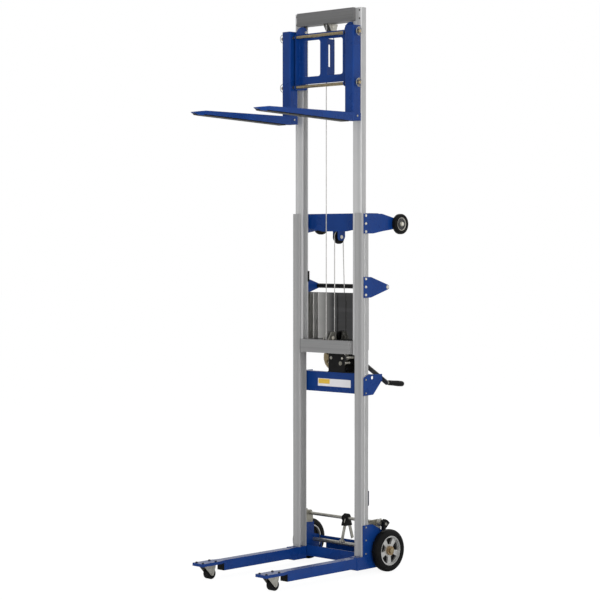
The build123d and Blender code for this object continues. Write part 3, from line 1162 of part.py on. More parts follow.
save(rope_winding(), "rope_winding")
save(rope_rear_fall(), "rope_rear_fall")
save(straight_fall(TOP_Y - TOP_R, LOWER_Z + STUB + ROPE_GAP, TOP_Z - STUB - ROPE_GAP), "rope_front_fall")
save(rope_mast_loop(), "rope_mast_loop")
save(straight_fall(HEAD_Y + HEAD_R, LUG_Z + ROPE_GAP, HEAD_Z - STUB - ROPE_GAP), "rope_carriage_fall")
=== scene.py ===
import json
from math import asin, atan2, cos, hypot, pi, radians, sin, sqrt

import bmesh
import bpy
from mathutils import Matrix, Vector


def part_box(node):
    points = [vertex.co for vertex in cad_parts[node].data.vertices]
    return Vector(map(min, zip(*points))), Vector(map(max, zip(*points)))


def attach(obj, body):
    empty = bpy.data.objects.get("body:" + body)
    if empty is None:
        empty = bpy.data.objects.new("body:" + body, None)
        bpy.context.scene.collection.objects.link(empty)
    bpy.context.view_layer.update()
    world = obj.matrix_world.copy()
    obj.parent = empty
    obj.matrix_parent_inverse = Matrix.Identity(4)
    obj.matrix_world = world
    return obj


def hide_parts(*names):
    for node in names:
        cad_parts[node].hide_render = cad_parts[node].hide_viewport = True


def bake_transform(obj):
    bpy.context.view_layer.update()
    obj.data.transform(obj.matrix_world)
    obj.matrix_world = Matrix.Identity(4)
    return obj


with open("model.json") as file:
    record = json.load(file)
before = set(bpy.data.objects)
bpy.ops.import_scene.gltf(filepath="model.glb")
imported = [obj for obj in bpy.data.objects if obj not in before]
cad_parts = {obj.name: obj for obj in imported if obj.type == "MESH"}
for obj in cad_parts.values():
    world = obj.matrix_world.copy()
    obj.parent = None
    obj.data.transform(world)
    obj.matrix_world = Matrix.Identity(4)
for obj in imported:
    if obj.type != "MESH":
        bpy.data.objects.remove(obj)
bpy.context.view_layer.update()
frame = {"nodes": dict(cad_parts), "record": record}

# Looks of the hand winch lift truck, in metres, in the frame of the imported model: +Z up, forks to -Y.
MM = 0.001
SIDES = {"left": -1, "right": 1}
SLOT_OF = {part["node"]: part["material_slot"] for part in frame["record"]["subparts"]}
BODY_OF = {node: body for body, nodes in frame["record"]["behaviour"]["bodies"].items() for node in nodes}
UP, DOWN, FORWARD, BACK = Vector((0, 0, 1)), Vector((0, 0, -1)), Vector((0, -1, 0)), Vector((0, 1, 0))

# Camera and studio
CAMERA_PLACE = (6.070, -6.252, 1.575)
CAMERA_AZIMUTH, CAMERA_PITCH = radians(44.08), radians(1.76)
CAMERA_LENS, CAMERA_SENSOR, CAMERA_REACH = 110.13, 36.0, 200.0
FLOOR_SIZE, FLOOR_TONE = 80.0, 0.8
FLOOR_GLOW, FLOOR_GLOW_SHARE = 1.14, 0.80  # what the camera sees of the floor, mixed with its own tone
FILL_LIGHT = 0.55
BRIGHT_SIDE = (0.70, 0.71, 0.1)  # where the surroundings that metal mirrors are white
DIM_SPAN, DIM_TONE = (-1.0, 0.2), (0.50, 0.50, 0.51)  # their fall to grey towards the other side
LAMPS = {  # place, point aimed at, width, height, watts
    "key": ((7.0, -2.6, 2.0), (0.0, 0.1, 1.3), 3.0, 3.0, 180.0),
    "front": ((1.0, -6.4, 3.0), (0.0, 0.1, 1.4), 3.0, 3.0, 40.0),
    "strip": ((6.9, -7.1, 1.8), (0.0, 0.1, 1.4), 1.6, 4.0, 330.0),
    "back": ((-3.4, 5.2, 2.7), (0.0, 0.1, 1.4), 3.0, 3.0, 110.0),
}

# Finishing
MERGE_DISTANCE = 1e-6
FLAT_ANGLE = radians(0.4)
SHARP_ANGLE = radians(34)
EASED_EDGE, EASED_STEPS = 0.7 * MM, 2
FILM_EDGE = 1 / 4  # eased edge of a thin plate, as a share of its thickness
CORNER_STEPS = 6
RING_SIDES, TYRE_SIDES, GRIP_SIDES, EYE_SIDES = 80, 120, 64, 32

# Wire rope
ROPE_RADIUS = 2.4 * MM
ROPE_LOOPS, ROPE_PITCH = 8, 5.5 * MM
ROPE_FIRST_TURN_Y = 289 * MM
ROPE_STUB = 2 * ROPE_RADIUS
ROPE_STRANDS, ROPE_LAY, ROPE_STEP = 6, 30 * MM, 3.2 * MM
ROPE_RING, ROPE_DENT, ROPE_CURVE_STEPS = 24, 0.09, 16
SHEAVE_RIM = 3.5 * MM
ARC_HANDLE = 0.3905  # Bezier handle of a quarter circle, as a share of its chord

# Bolts and welds
SHANK_SIDES, WASHER_SIDES = 24, 32
BARREL_SHARE, CROWN_BASE, CROWN_SHARE, CROWN_TAPER = 0.72, 0.70, 0.30, 0.72  # of a head's size
LONG_BOLT, HANDLE_BOLT, BASE_TOP = 30, 20, 1000  # lengths and a height that tell bolts apart, in millimetres
WELD_RADIUS, WELD_STEP = 2.0 * MM, 2.6 * MM
RIPPLE_SEGMENTS, RIPPLE_RINGS = 10, 6

# Places on the truck, in millimetres
POST_OUTSIDE, POST_REAR = 228, 250
POST_CHANNEL_X, POST_CHANNEL_Y = (166.5, 225), (205.5, 246.5)
INNER_CHANNEL_X, INNER_CHANNEL_Y, INNER_OUTSIDE = (166.5, 215), (210, 242), 217.5
WINCH_FACE_Y, SPACER_X, SPACER_Z = 259, 35, 995
SPACER_BAR_RADIUS, SPACER_BAR_Y = 5.5, (265.5, 342.5)
SPACER_HEAD_RADIUS, SPACER_HEAD_BACK = 10.5, 262.2
PINION_GEAR_Y = (268.5, 281.5)
GRIP_FOOT, GRIP_STEP, GRIP_LENGTH, GRIP_DROOP = Vector((242, 368, 907)), 5, 112, radians(6.0)
COLLAR_RADIUS, COLLAR_SLACK = 11, 0.5
FORK_MIDDLE, FORK_HALF = 207, 27
HEEL_BOLT_Y, HEEL_BOLT_Z, HEEL_BOLT_RADIUS, HEEL_BOLT_SLACK = 162, 2177, 7, 0.1
TINE_CHIN, TINE_BEND = (-472, 2176), (106, 2153)
TINE_PLATE_INSET, TINE_PLATE_THICK, TINE_END_SLACK = 2.4, 0.8, 0.01
ROD_Y, ROD_HEIGHTS = 157, (2333, 2573)
RING_X, RING_RADIUS, RING_WIRE, RING_SPREAD = 251, 19.5, 2, 2.2
SIDE_BOLT_X, SIDE_BOLT_Y, SIDE_BOLT_Z = 158, 197, 2549
AXLE_NUT_X, HUB_BUSH_RADIUS, SMALL_HUB_DISH = 281, 22.6, (12, 28.5)
SHOE_EYE_OFFSET = Vector((0, -6, 4))


class Wire:
    """A node's output socket, so that node maths reads as Python expressions."""

    def __init__(self, tree, socket):
        self.tree = tree
        self.socket = socket

    def node(self, kind, settings=None, inputs=None, output=0):
        """Adds a node of this kind, makes its settings, feeds its inputs and returns one output."""
        made = self.tree.nodes.new(kind)
        for key, value in (settings or {}).items():
            setattr(made, key, value)
        for key, value in (inputs or {}).items():
            feed(self.tree, made.inputs[key], value)
        return Wire(self.tree, made.outputs[output]) if made.outputs else None

    def maths(self, operation, *values):
        """A Math node's result."""
        return self.node("ShaderNodeMath", {"operation": operation}, dict(enumerate(values)))

    def __add__(self, other):
        return self.maths("ADD", self, other)

    def __sub__(self, other):
        return self.maths("SUBTRACT", self, other)

    def __rsub__(self, other):
        return self.maths("SUBTRACT", other, self)

    def __mul__(self, other):
        return self.maths("MULTIPLY", self, other)

    def __truediv__(self, other):
        return self.maths("DIVIDE", self, other)

    def __rtruediv__(self, other):
        return self.maths("DIVIDE", other, self)

    __radd__ = __add__
    __rmul__ = __mul__

    def stretched(self, factors):
        """Vector scaled axis by axis."""
        return self.node("ShaderNodeVectorMath", {"operation": "MULTIPLY"}, {0: self, 1: factors})

    def scaled(self, factor):
        """Vector times a number."""
        return self.node("ShaderNodeVectorMath", {"operation": "SCALE"}, {0: self, "Scale": factor})

    def part(self, axis):
        """One axis of a vector."""
        return self.node("ShaderNodeSeparateXYZ", None, {0: self}, output=axis)

    def noise(self, scale, detail=3.0, roughness=0.5):
        """Noise value at this place."""
        inputs = {"Vector": self, "Scale": scale, "Detail": detail, "Roughness": roughness}
        return self.node("ShaderNodeTexNoise", None, inputs)

    def between(self, low, high):
        """Value moved from the span low..high to 0..1 and held there."""
        inputs = {"Value": self, "From Min": low, "From Max": high}
        return self.node("ShaderNodeMapRange", {"clamp": True}, inputs)

    def tint(self, first, second):
        """Colour mixed from first to second by this value."""
        inputs = {0: self, 6: first, 7: second}
        return self.node("ShaderNodeMix", {"data_type": "RGBA"}, inputs, output=2)

    def bump(self, distance, strength=1.0):
        """Normal that stands up by this height."""
        inputs = {"Height": self, "Distance": distance, "Strength": strength}
        return self.node("ShaderNodeBump", None, inputs)


def feed(tree, socket, value):
    """Links a wire, or a list of wires, to a socket, or sets its value."""
    if isinstance(value, (list, tuple)) and value and isinstance(value[0], Wire):
        for wire in value:
            tree.links.new(wire.socket, socket)
    elif isinstance(value, Wire):
        tree.links.new(value.socket, socket)
    else:
        socket.default_value = value


def colour(red, green, blue):
    return (red, green, blue, 1.0)


def grey(level):
    return colour(level, level, level)


def bare_tree(owner):
    """Node tree of a material or the world, emptied."""
    owner.use_nodes = True
    owner.node_tree.nodes.clear()
    return owner.node_tree


def surface(name, **constants):
    """New material with a Principled shader; returns it, the shader and a wire of object coordinates."""
    material = bpy.data.materials.new(name)
    tree = bare_tree(material)
    shader = tree.nodes.new("ShaderNodeBsdfPrincipled")
    output = tree.nodes.new("ShaderNodeOutputMaterial")
    tree.links.new(shader.outputs[0], output.inputs[0])
    for key, value in constants.items():
        shader.inputs[key.replace("_", " ")].default_value = value
    place = Wire(tree, tree.nodes.new("ShaderNodeTexCoord").outputs["Object"])
    return material, shader, place


def dress(shader, place, **inputs):
    """Feeds a shader's inputs."""
    for key, value in inputs.items():
        feed(place.tree, shader.inputs[key.replace("_", " ")], value)


# Finishes


def blue_paint():
    """Gloss powder coat with a fine orange peel and faint handling haze."""
    material, shader, place = surface("blue_paint", Specular_IOR_Level=0.22)
    cloud = place.noise(9.0, 4.0).between(0.35, 0.7)
    peel = place.noise(620.0, 2.0)
    speck = place.noise(1900.0, 1.0).between(0.62, 0.72)
    base = cloud.tint(colour(0.0032, 0.0290, 0.155), colour(0.0040, 0.0370, 0.186))
    dress(
        shader,
        place,
        Base_Color=speck.tint(base, colour(0.006, 0.050, 0.225)),
        Roughness=0.24 + 0.12 * cloud,
        Normal=peel.bump(0.02 * MM, 0.25),
    )
    return material


def drawn_aluminium(name, along, dark, light, metal=0.5):
    """Satin anodised aluminium with draw lines along one axis."""
    material, shader, place = surface(name, Metallic=metal, Specular_IOR_Level=0.4)
    across, lengthways, coarse = 420.0, 1.6, 0.11
    factors = [lengthways if axis == along else across for axis in "XYZ"]
    lines = place.stretched(tuple(factors)).noise(1.0, 3.0, 0.6)
    broad = place.stretched(tuple(coarse * factor for factor in factors)).noise(1.0, 2.0)
    shade = 0.55 * lines + 0.45 * broad
    dress(
        shader,
        place,
        Base_Color=shade.between(0.3, 0.7).tint(dark, light),
        Roughness=0.32 + 0.16 * lines,
        Normal=lines.bump(0.05 * MM, 0.35),
    )
    return material


def plated(name, dark, light, rough, metal=1.0):
    """Plated steel with a cloudy bloom and fine grain."""
    material, shader, place = surface(name, Metallic=metal)
    bloom = place.noise(70.0, 4.0, 0.6).between(0.3, 0.7)
    grain = place.noise(900.0, 2.0)
    dress(
        shader,
        place,
        Base_Color=bloom.tint(dark, light),
        Roughness=rough + 0.14 * grain,
        Normal=grain.bump(0.04 * MM, 0.3),
    )
    return material


def moulded(name, dark, light, rough, grain_scale, grain_depth, shine):
    """Moulded or coated part with a fine surface grain."""
    material, shader, place = surface(name, Specular_IOR_Level=shine)
    cloud = place.noise(24.0, 4.0).between(0.35, 0.7)
    grain = place.noise(grain_scale, 3.0, 0.6)
    dress(
        shader,
        place,
        Base_Color=cloud.tint(dark, light),
        Roughness=rough + 0.12 * cloud,
        Normal=grain.bump(grain_depth, 0.6),
    )
    return material


def polished_sheet():
    """Mirror sheet of the guard, with a painted reflection: its base colour is pale on the left and dark on
    the right, with faint wipe marks.
    """
    material, shader, place = surface("gloss_black", Metallic=1.0)
    wipe = place.stretched((3.0, 3.0, 26.0)).noise(1.0, 4.0, 0.6).between(0.45, 0.8)
    # The pale left and the dark right of the base colour are a painted reflection.
    pale_until, dark_from = -0.14, -0.02
    painted_reflection_fade = place.part(0).between(pale_until, dark_from)
    painted_reflection_base = painted_reflection_fade.tint(colour(0.84, 0.83, 0.80), colour(0.10, 0.10, 0.102))
    dress(
        shader,
        place,
        Base_Color=(0.2 * wipe).tint(painted_reflection_base, colour(0.30, 0.30, 0.30)),
        Roughness=0.035 + 0.05 * wipe,
    )
    return material


def cast_metal():
    """Bead-blasted cast aluminium."""
    material, shader, place = surface("cast_aluminium", Metallic=0.8)
    sand = place.noise(1100.0, 3.0, 0.7)
    cloud = place.noise(40.0, 3.0).between(0.3, 0.7)
    dress(
        shader,
        place,
        Base_Color=cloud.tint(colour(0.48, 0.48, 0.47), colour(0.62, 0.62, 0.60)),
        Roughness=0.34 + 0.2 * sand,
        Normal=sand.bump(0.10 * MM, 0.5),
    )
    return material


def plate_face(name, tone):
    """Face film of a plate, a plain tone with faint flecks."""
    material, shader, place = surface(name)
    fleck = place.noise(700.0, 2.0)
    dress(
        shader,
        place,
        Base_Color=fleck.between(0.3, 0.7).tint(tone, colour(*[0.93 * part for part in tone[:3]])),
        Roughness=0.32 + 0.1 * fleck,
    )
    return material


FINISH = {
    "blue_paint": blue_paint(),
    "mast_aluminium": drawn_aluminium("mast_aluminium", "Z", grey(0.35), grey(0.47)),
    "inner_aluminium": drawn_aluminium("inner_aluminium", "Z", grey(0.54), grey(0.66)),
    # Pale, nearly plain copy of the aluminium: painted light for the shaded insides of the post channels.
    "channel_painted_light_aluminium": drawn_aluminium("channel_painted_light_aluminium", "Z", grey(0.79), grey(0.90), 0.1),
    "beam_aluminium": drawn_aluminium("beam_aluminium", "X", grey(0.24), grey(0.36)),
    "top_aluminium": drawn_aluminium("top_aluminium", "X", grey(0.14), grey(0.23)),
    "zinc_steel": plated("zinc_steel", colour(0.33, 0.32, 0.28), colour(0.50, 0.49, 0.44), 0.24, 0.85),
    "yellow_zinc": plated("yellow_zinc", colour(0.30, 0.24, 0.14), colour(0.46, 0.38, 0.23), 0.16, 0.95),
    "cream_zinc": plated("cream_zinc", colour(0.56, 0.53, 0.45), colour(0.76, 0.74, 0.66), 0.30, 0.5),
    "dark_zinc": plated("dark_zinc", colour(0.040, 0.040, 0.041), colour(0.08, 0.08, 0.081), 0.36, 0.7),
    "sheave_steel": plated("sheave_steel", colour(0.20, 0.20, 0.195), colour(0.32, 0.32, 0.31), 0.32, 0.8),
    "olive_zinc": plated("olive_zinc", colour(0.24, 0.23, 0.19), colour(0.38, 0.365, 0.31), 0.28, 0.85),
    "crank_steel": plated("crank_steel", grey(0.07), grey(0.13), 0.26, 0.8),
    "bronze": plated("bronze", colour(0.24, 0.16, 0.08), colour(0.42, 0.30, 0.17), 0.30, 0.8),
    "black_plastic": moulded("black_plastic", grey(0.0018), grey(0.0045), 0.42, 900.0, 0.1 * MM, 0.14),
    "black_paint": moulded("black_paint", grey(0.0030), grey(0.0060), 0.38, 620.0, 0.1 * MM, 0.2),
    # Near-black navy copy of the blue paint: painted shade for the stop on a mast post.
    "painted_shade_navy": moulded(
        "painted_shade_navy", colour(0.003, 0.006, 0.026), colour(0.005, 0.009, 0.036), 0.36, 620.0, 0.1 * MM, 0.2
    ),
    "gloss_black": polished_sheet(),
    "nylon": moulded(
        "nylon", colour(0.52, 0.50, 0.44), colour(0.68, 0.66, 0.60), 0.42, 500.0, 0.06 * MM, 0.5
    ),
    "tyre_rubber": moulded("tyre_rubber", grey(0.0016), grey(0.0040), 0.48, 700.0, 0.16 * MM, 0.14),
    "cast_aluminium": cast_metal(),
    "wire_rope": plated("wire_rope", colour(0.50, 0.49, 0.47), colour(0.70, 0.69, 0.67), 0.34, 0.7),
    "plate_white": plate_face("plate_white", colour(0.74, 0.74, 0.76)),
    "plate_yellow": plate_face("plate_yellow", colour(0.72, 0.46, 0.05)),
}
# The beams' aluminium is darker than the posts': the mill finish is their own, and the darkness is a painted
# reflection of dim surroundings.
OWN_FINISH = {"top_beam": "top_aluminium", "lower_beam": "beam_aluminium"}
OWN_FINISH |= {"inner_post_left": "inner_aluminium", "inner_post_right": "inner_aluminium"}
OWN_FINISH |= {"head_sheave": "sheave_steel", "lower_sheave": "sheave_steel"}
# The brake brackets take the olive zinc: the olive tint is their own, and its darkness is painted shade on
# plates the key lamp lights.
# The pinion shaft takes the paler cream zinc: painted light on a bar that sits in shade.
OWN_FINISH |= {"brake_brackets": "olive_zinc", "pinion_shaft": "cream_zinc", "crank_arm": "crank_steel"}


# Making pieces


def added(name, data):
    """Object with this data, added to the scene."""
    thing = bpy.data.objects.new(name, data)
    bpy.context.scene.collection.objects.link(thing)
    return thing


def plain(piece):
    """Turns a piece with modifiers into a plain mesh."""
    bpy.context.view_layer.update()
    evaluated = piece.evaluated_get(bpy.context.evaluated_depsgraph_get())
    mesh = bpy.data.meshes.new_from_object(evaluated)
    piece.modifiers.clear()
    piece.data = mesh
    mesh.name = piece.name
    return piece


def smooth(piece):
    """Shades a piece smooth, apart from its sharp edges."""
    mesh = piece.data
    mesh.polygons.foreach_set("use_smooth", [True] * len(mesh.polygons))
    mesh.set_sharp_from_angle(angle=SHARP_ANGLE)
    return piece


def ease(piece, width):
    """Rounds a piece's sharp edges by a small width."""
    bevel = piece.modifiers.new("eased edges", "BEVEL")
    bevel.width = width
    bevel.segments = EASED_STEPS
    bevel.limit_method = "ANGLE"
    bevel.angle_limit = SHARP_ANGLE
    bevel.harden_normals = True
    return plain(piece)


def settle(piece, body, slot, *nodes, finish=None):
    """Gives a piece its finish, or the finish of its slot, puts it on its body and hides the nodes it stands
    for.

    body is a body's name, or the four values of a blend, which are not used: such a piece stays where it
    stands.
    """
    piece.data.materials.clear()
    piece.data.materials.append(FINISH[finish or slot])
    if isinstance(body, str):
        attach(piece, body)
    else:
        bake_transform(piece)
    if nodes:
        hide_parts(*nodes)
    return piece


def paint(piece, finish, chosen):
    """Gives another finish to the faces whose corners, in millimetres, are all chosen."""
    mesh = piece.data
    mesh.materials.append(FINISH[finish])
    for face in mesh.polygons:
        if all(chosen(mesh.vertices[k].co / MM) for k in face.vertices):
            face.material_index = len(mesh.materials) - 1
    return piece


def joined(node):
    """A node's loose triangles, joined where they meet."""
    form = bmesh.new()
    form.from_mesh(frame["nodes"][node].data)
    bmesh.ops.remove_doubles(form, verts=form.verts, dist=MERGE_DISTANCE)
    return form


def mesh_of(name, form):
    """Mesh made from a form, which is freed."""
    mesh = bpy.data.meshes.new(name)
    form.to_mesh(mesh)
    form.free()
    return mesh


def finished(node):
    """Finished copy of a node that takes its place."""
    name, form = f"{node}_finished", joined(node)
    bmesh.ops.dissolve_limit(form, angle_limit=FLAT_ANGLE, verts=form.verts, edges=form.edges)
    piece = ease(smooth(added(name, mesh_of(name, form))), EASED_EDGE)
    return settle(piece, BODY_OF[node], SLOT_OF[node], node, finish=OWN_FINISH.get(node))


def islands(node):
    """Boxes round a node's separate solids, as (lowest corner, highest corner)."""
    form = joined(node)
    boxes, seen = [], set()
    for vert in form.verts:
        if vert in seen:
            continue
        group, to_visit = [], [vert]
        seen.add(vert)
        while to_visit:
            current = to_visit.pop()
            group.append(current.co.copy())
            for edge in current.link_edges:
                other = edge.other_vert(current)
                if other not in seen:
                    seen.add(other)
                    to_visit.append(other)
        low, high = (Vector([pick(place[k] for place in group) for k in range(3)]) for pick in (min, max))
        boxes.append((low, high))
    form.free()
    return boxes


def softened(corners):
    """Closed outline in metres from corners in millimetres, (x, y, cut), each rounded off by its cut."""
    outline = []
    for k, (x, y, cut) in enumerate(corners):
        here = Vector((x, y))
        before = Vector(corners[k - 1][:2]) - here
        after = Vector(corners[(k + 1) % len(corners)][:2]) - here
        start, end = here + before.normalized() * cut, here + after.normalized() * cut
        if not cut:
            outline.append(here * MM)
            continue
        for i in range(CORNER_STEPS + 1):
            t = i / CORNER_STEPS
            outline.append((start * (1 - t) ** 2 + here * (2 * t * (1 - t)) + end * t**2) * MM)
    return outline


def turned(name, corners, centre, along="X", sides=RING_SIDES):
    """Ring turned about an axis through centre; corners as (distance along the axis, radius, cut)."""
    axis = "XYZ".index(along)
    form = bmesh.new()
    rings = []
    for k in range(sides):
        angle = 2 * pi * k / sides
        ring = []
        for distance, radius in softened(corners):
            place = Vector(centre)
            place[axis] += distance
            place[axis - 2] += radius * cos(angle)
            place[axis - 1] += radius * sin(angle)
            ring.append(form.verts.new(place))
        rings.append(ring)
    for k, ring in enumerate(rings):
        other = rings[(k + 1) % sides]
        for i in range(len(ring)):
            j = (i + 1) % len(ring)
            form.faces.new((ring[i], ring[j], other[j], other[i]))
    bmesh.ops.recalc_face_normals(form, faces=form.faces)
    return smooth(added(name, mesh_of(name, form)))


def film(name, plate, y_front, thick):
    """Thin plate behind y_front; plate is (left, right, bottom, top, corner cut) in millimetres."""
    left, right, bottom, top, cut = plate
    corners = [(left, bottom, cut), (right, bottom, cut), (right, top, cut), (left, top, cut)]
    form = bmesh.new()
    face = form.faces.new([form.verts.new((x, y_front, z)) for x, z in softened(corners)])
    pushed = bmesh.ops.extrude_face_region(form, geom=[face])["geom"]
    moved = [item for item in pushed if isinstance(item, bmesh.types.BMVert)]
    bmesh.ops.translate(form, verts=moved, vec=(0, thick, 0))
    bmesh.ops.recalc_face_normals(form, faces=form.faces)
    return ease(smooth(added(name, mesh_of(name, form))), thick * FILM_EDGE)


# Geometry node trees


def tree_of(name, **inputs):
    """New tree with a geometry input and output and these inputs; returns it and its inputs' wires."""
    tree = bpy.data.node_groups.new(name, "GeometryNodeTree")
    tree.interface.new_socket("Geometry", in_out="INPUT", socket_type="NodeSocketGeometry")
    for key, kind in inputs.items():
        tree.interface.new_socket(key, in_out="INPUT", socket_type=f"NodeSocket{kind}")
    tree.interface.new_socket("Geometry", in_out="OUTPUT", socket_type="NodeSocketGeometry")
    entry = tree.nodes.new("NodeGroupInput")
    return tree, {socket.name: Wire(tree, socket) for socket in entry.outputs if socket.name}


def close(shape, material):
    """Ends a tree with a real mesh in its material."""
    real = shape.node("GeometryNodeRealizeInstances", None, {0: shape})
    shown = shape.node("GeometryNodeSetMaterial", None, {"Geometry": real, "Material": material})
    shape.node("NodeGroupOutput", None, {0: shown})


def grow(piece, tree, **values):
    """Runs a geometry tree on a piece with these inputs and leaves a plain mesh."""
    modifier = piece.modifiers.new(tree.name, "NODES")
    modifier.node_group = tree
    for item in tree.interface.items_tree:
        if item.in_out == "INPUT" and item.name in values:
            modifier[item.identifier] = values[item.name]
    return plain(piece)


def stepped(line, step):
    """Curve along a mesh line, with its points a step apart."""
    curve = line.node("GeometryNodeMeshToCurve", None, {"Mesh": line})
    return line.node("GeometryNodeResampleCurve", {"mode": "LENGTH"}, {"Curve": curve, "Length": step})


def rope_tree():
    """A line becomes a rope of twisted strands."""
    sizes = {"radius": "Float", "lay": "Float", "step": "Float", "strands": "Int"}
    tree, given = tree_of("laid rope", **sizes, material="Material")
    line = given["Geometry"]
    curve = stepped(line, given["step"])
    twist = line.node("GeometryNodeSplineParameter", output="Length") * (2 * pi) / given["lay"]
    curve = line.node("GeometryNodeSetCurveTilt", None, {"Curve": curve, "Tilt": twist})
    circle = {"Resolution": ROPE_RING, "Radius": given["radius"]}
    ring = line.node("GeometryNodeCurvePrimitiveCircle", {"mode": "RADIUS"}, circle)
    turn = line.node("GeometryNodeInputIndex") * (2 * pi / ROPE_RING) * given["strands"]
    dent = (turn.maths("COSINE", turn) - 1.0) * ROPE_DENT
    inward = line.node("GeometryNodeInputPosition").scaled(dent)
    ring = line.node("GeometryNodeSetPosition", None, {"Geometry": ring, "Offset": inward})
    skin = {"Curve": curve, "Profile Curve": ring, "Fill Caps": True}
    close(line.node("GeometryNodeCurveToMesh", None, skin), given["material"])
    return tree


def prism(wire, sides, radius, height, base):
    """Upright prism in a geometry tree, from base up by height."""
    size = {"Vertices": sides, "Radius": radius, "Depth": height}
    solid = wire.node("GeometryNodeMeshCylinder", None, size)
    lift = wire.node("ShaderNodeCombineXYZ", None, {"Z": base + height / 2})
    return wire.node("GeometryNodeTransform", None, {"Geometry": solid, "Translation": lift})


def bolt_tree():
    """Each point becomes a bolt along its facing: shank, washer and a head with a chamfered top."""
    sizes = ("head radius", "head height", "washer radius", "washer height", "shank radius", "shank length")
    tree, given = tree_of("headed bolt", sides="Int", **{key: "Float" for key in sizes}, material="Material")
    spots = given["Geometry"]
    head_r, head_h, washer_r, washer_h, shank_r, shank_l = (given[key] for key in sizes)
    shank = prism(spots, SHANK_SIDES, shank_r, shank_l + washer_h, 0.0 - shank_l)
    washer = prism(spots, WASHER_SIDES, washer_r, washer_h, 0.0)
    barrel = prism(spots, given["sides"], head_r, head_h * BARREL_SHARE, washer_h)
    cone = {
        "Vertices": given["sides"],
        "Radius Top": head_r * CROWN_TAPER,
        "Radius Bottom": head_r,
        "Depth": head_h * CROWN_SHARE,
    }
    crown = spots.node("GeometryNodeMeshCone", None, cone)
    lift = spots.node("ShaderNodeCombineXYZ", None, {"Z": washer_h + head_h * CROWN_BASE})
    crown = spots.node("GeometryNodeTransform", None, {"Geometry": crown, "Translation": lift})
    bolt = spots.node("GeometryNodeJoinGeometry", None, {"Geometry": [shank, washer, barrel, crown]})
    named = {"Name": "facing"}
    facing = spots.node("GeometryNodeInputNamedAttribute", {"data_type": "FLOAT_VECTOR"}, named)
    turn = spots.node("FunctionNodeAlignRotationToVector", {"axis": "Z"}, {"Vector": facing})
    placed = {"Points": spots, "Instance": bolt, "Rotation": turn}
    close(spots.node("GeometryNodeInstanceOnPoints", None, placed), given["material"])
    return tree


def weld_tree():
    """A line becomes a weld bead of overlapping ripples."""
    tree, given = tree_of("weld bead", radius="Float", step="Float", material="Material")
    line = given["Geometry"]
    ball = {"Segments": RIPPLE_SEGMENTS, "Rings": RIPPLE_RINGS, "Radius": given["radius"]}
    ripple = line.node("GeometryNodeMeshUVSphere", None, ball)
    placed = {"Points": stepped(line, given["step"]), "Instance": ripple}
    close(line.node("GeometryNodeInstanceOnPoints", None, placed), given["material"])
    return tree


ROPE_TREE, BOLT_TREE, WELD_TREE = rope_tree(), bolt_tree(), weld_tree()


# Rope


def laid_rope(node, body, stops):
    """Rope that takes a node's place along stops, each a place and the way the rope runs there."""
    route = bpy.data.curves.new(f"{node}_route", "CURVE")
    route.dimensions = "3D"
    route.resolution_u = ROPE_CURVE_STEPS
    spline = route.splines.new("BEZIER")
    spline.bezier_points.add(len(stops) - 1)
    for k, (point, (place, way)) in enumerate(zip(spline.bezier_points, stops)):
        before = (place - stops[max(k - 1, 0)][0]).length
        after = (stops[min(k + 1, len(stops) - 1)][0] - place).length
        point.co = place
        point.handle_left = place - way * before * ARC_HANDLE
        point.handle_right = place + way * after * ARC_HANDLE
    piece = plain_line(f"{node}_laid", route)
    grow(
        piece,
        ROPE_TREE,
        radius=ROPE_RADIUS,
        lay=ROPE_LAY,
        step=ROPE_STEP,
        strands=ROPE_STRANDS,
        material=FINISH["wire_rope"],
    )
    smooth(piece)
    settle(piece, body, SLOT_OF[node], node)


def plain_line(name, curve):
    """Mesh line along a curve."""
    drawn = added(f"{name}_line", curve)
    bpy.context.view_layer.update()
    mesh = bpy.data.meshes.new_from_object(drawn.evaluated_get(bpy.context.evaluated_depsgraph_get()))
    bpy.data.objects.remove(drawn)
    return added(name, mesh)


def middle(node):
    """Middle of a node's box."""
    low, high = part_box(node)
    return (low + high) / 2


def sheave(node):
    """Centre of a sheave and the radius of the rope on it."""
    low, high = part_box(node)
    return (low + high) / 2, (high.z - low.z) / 2 - SHEAVE_RIM


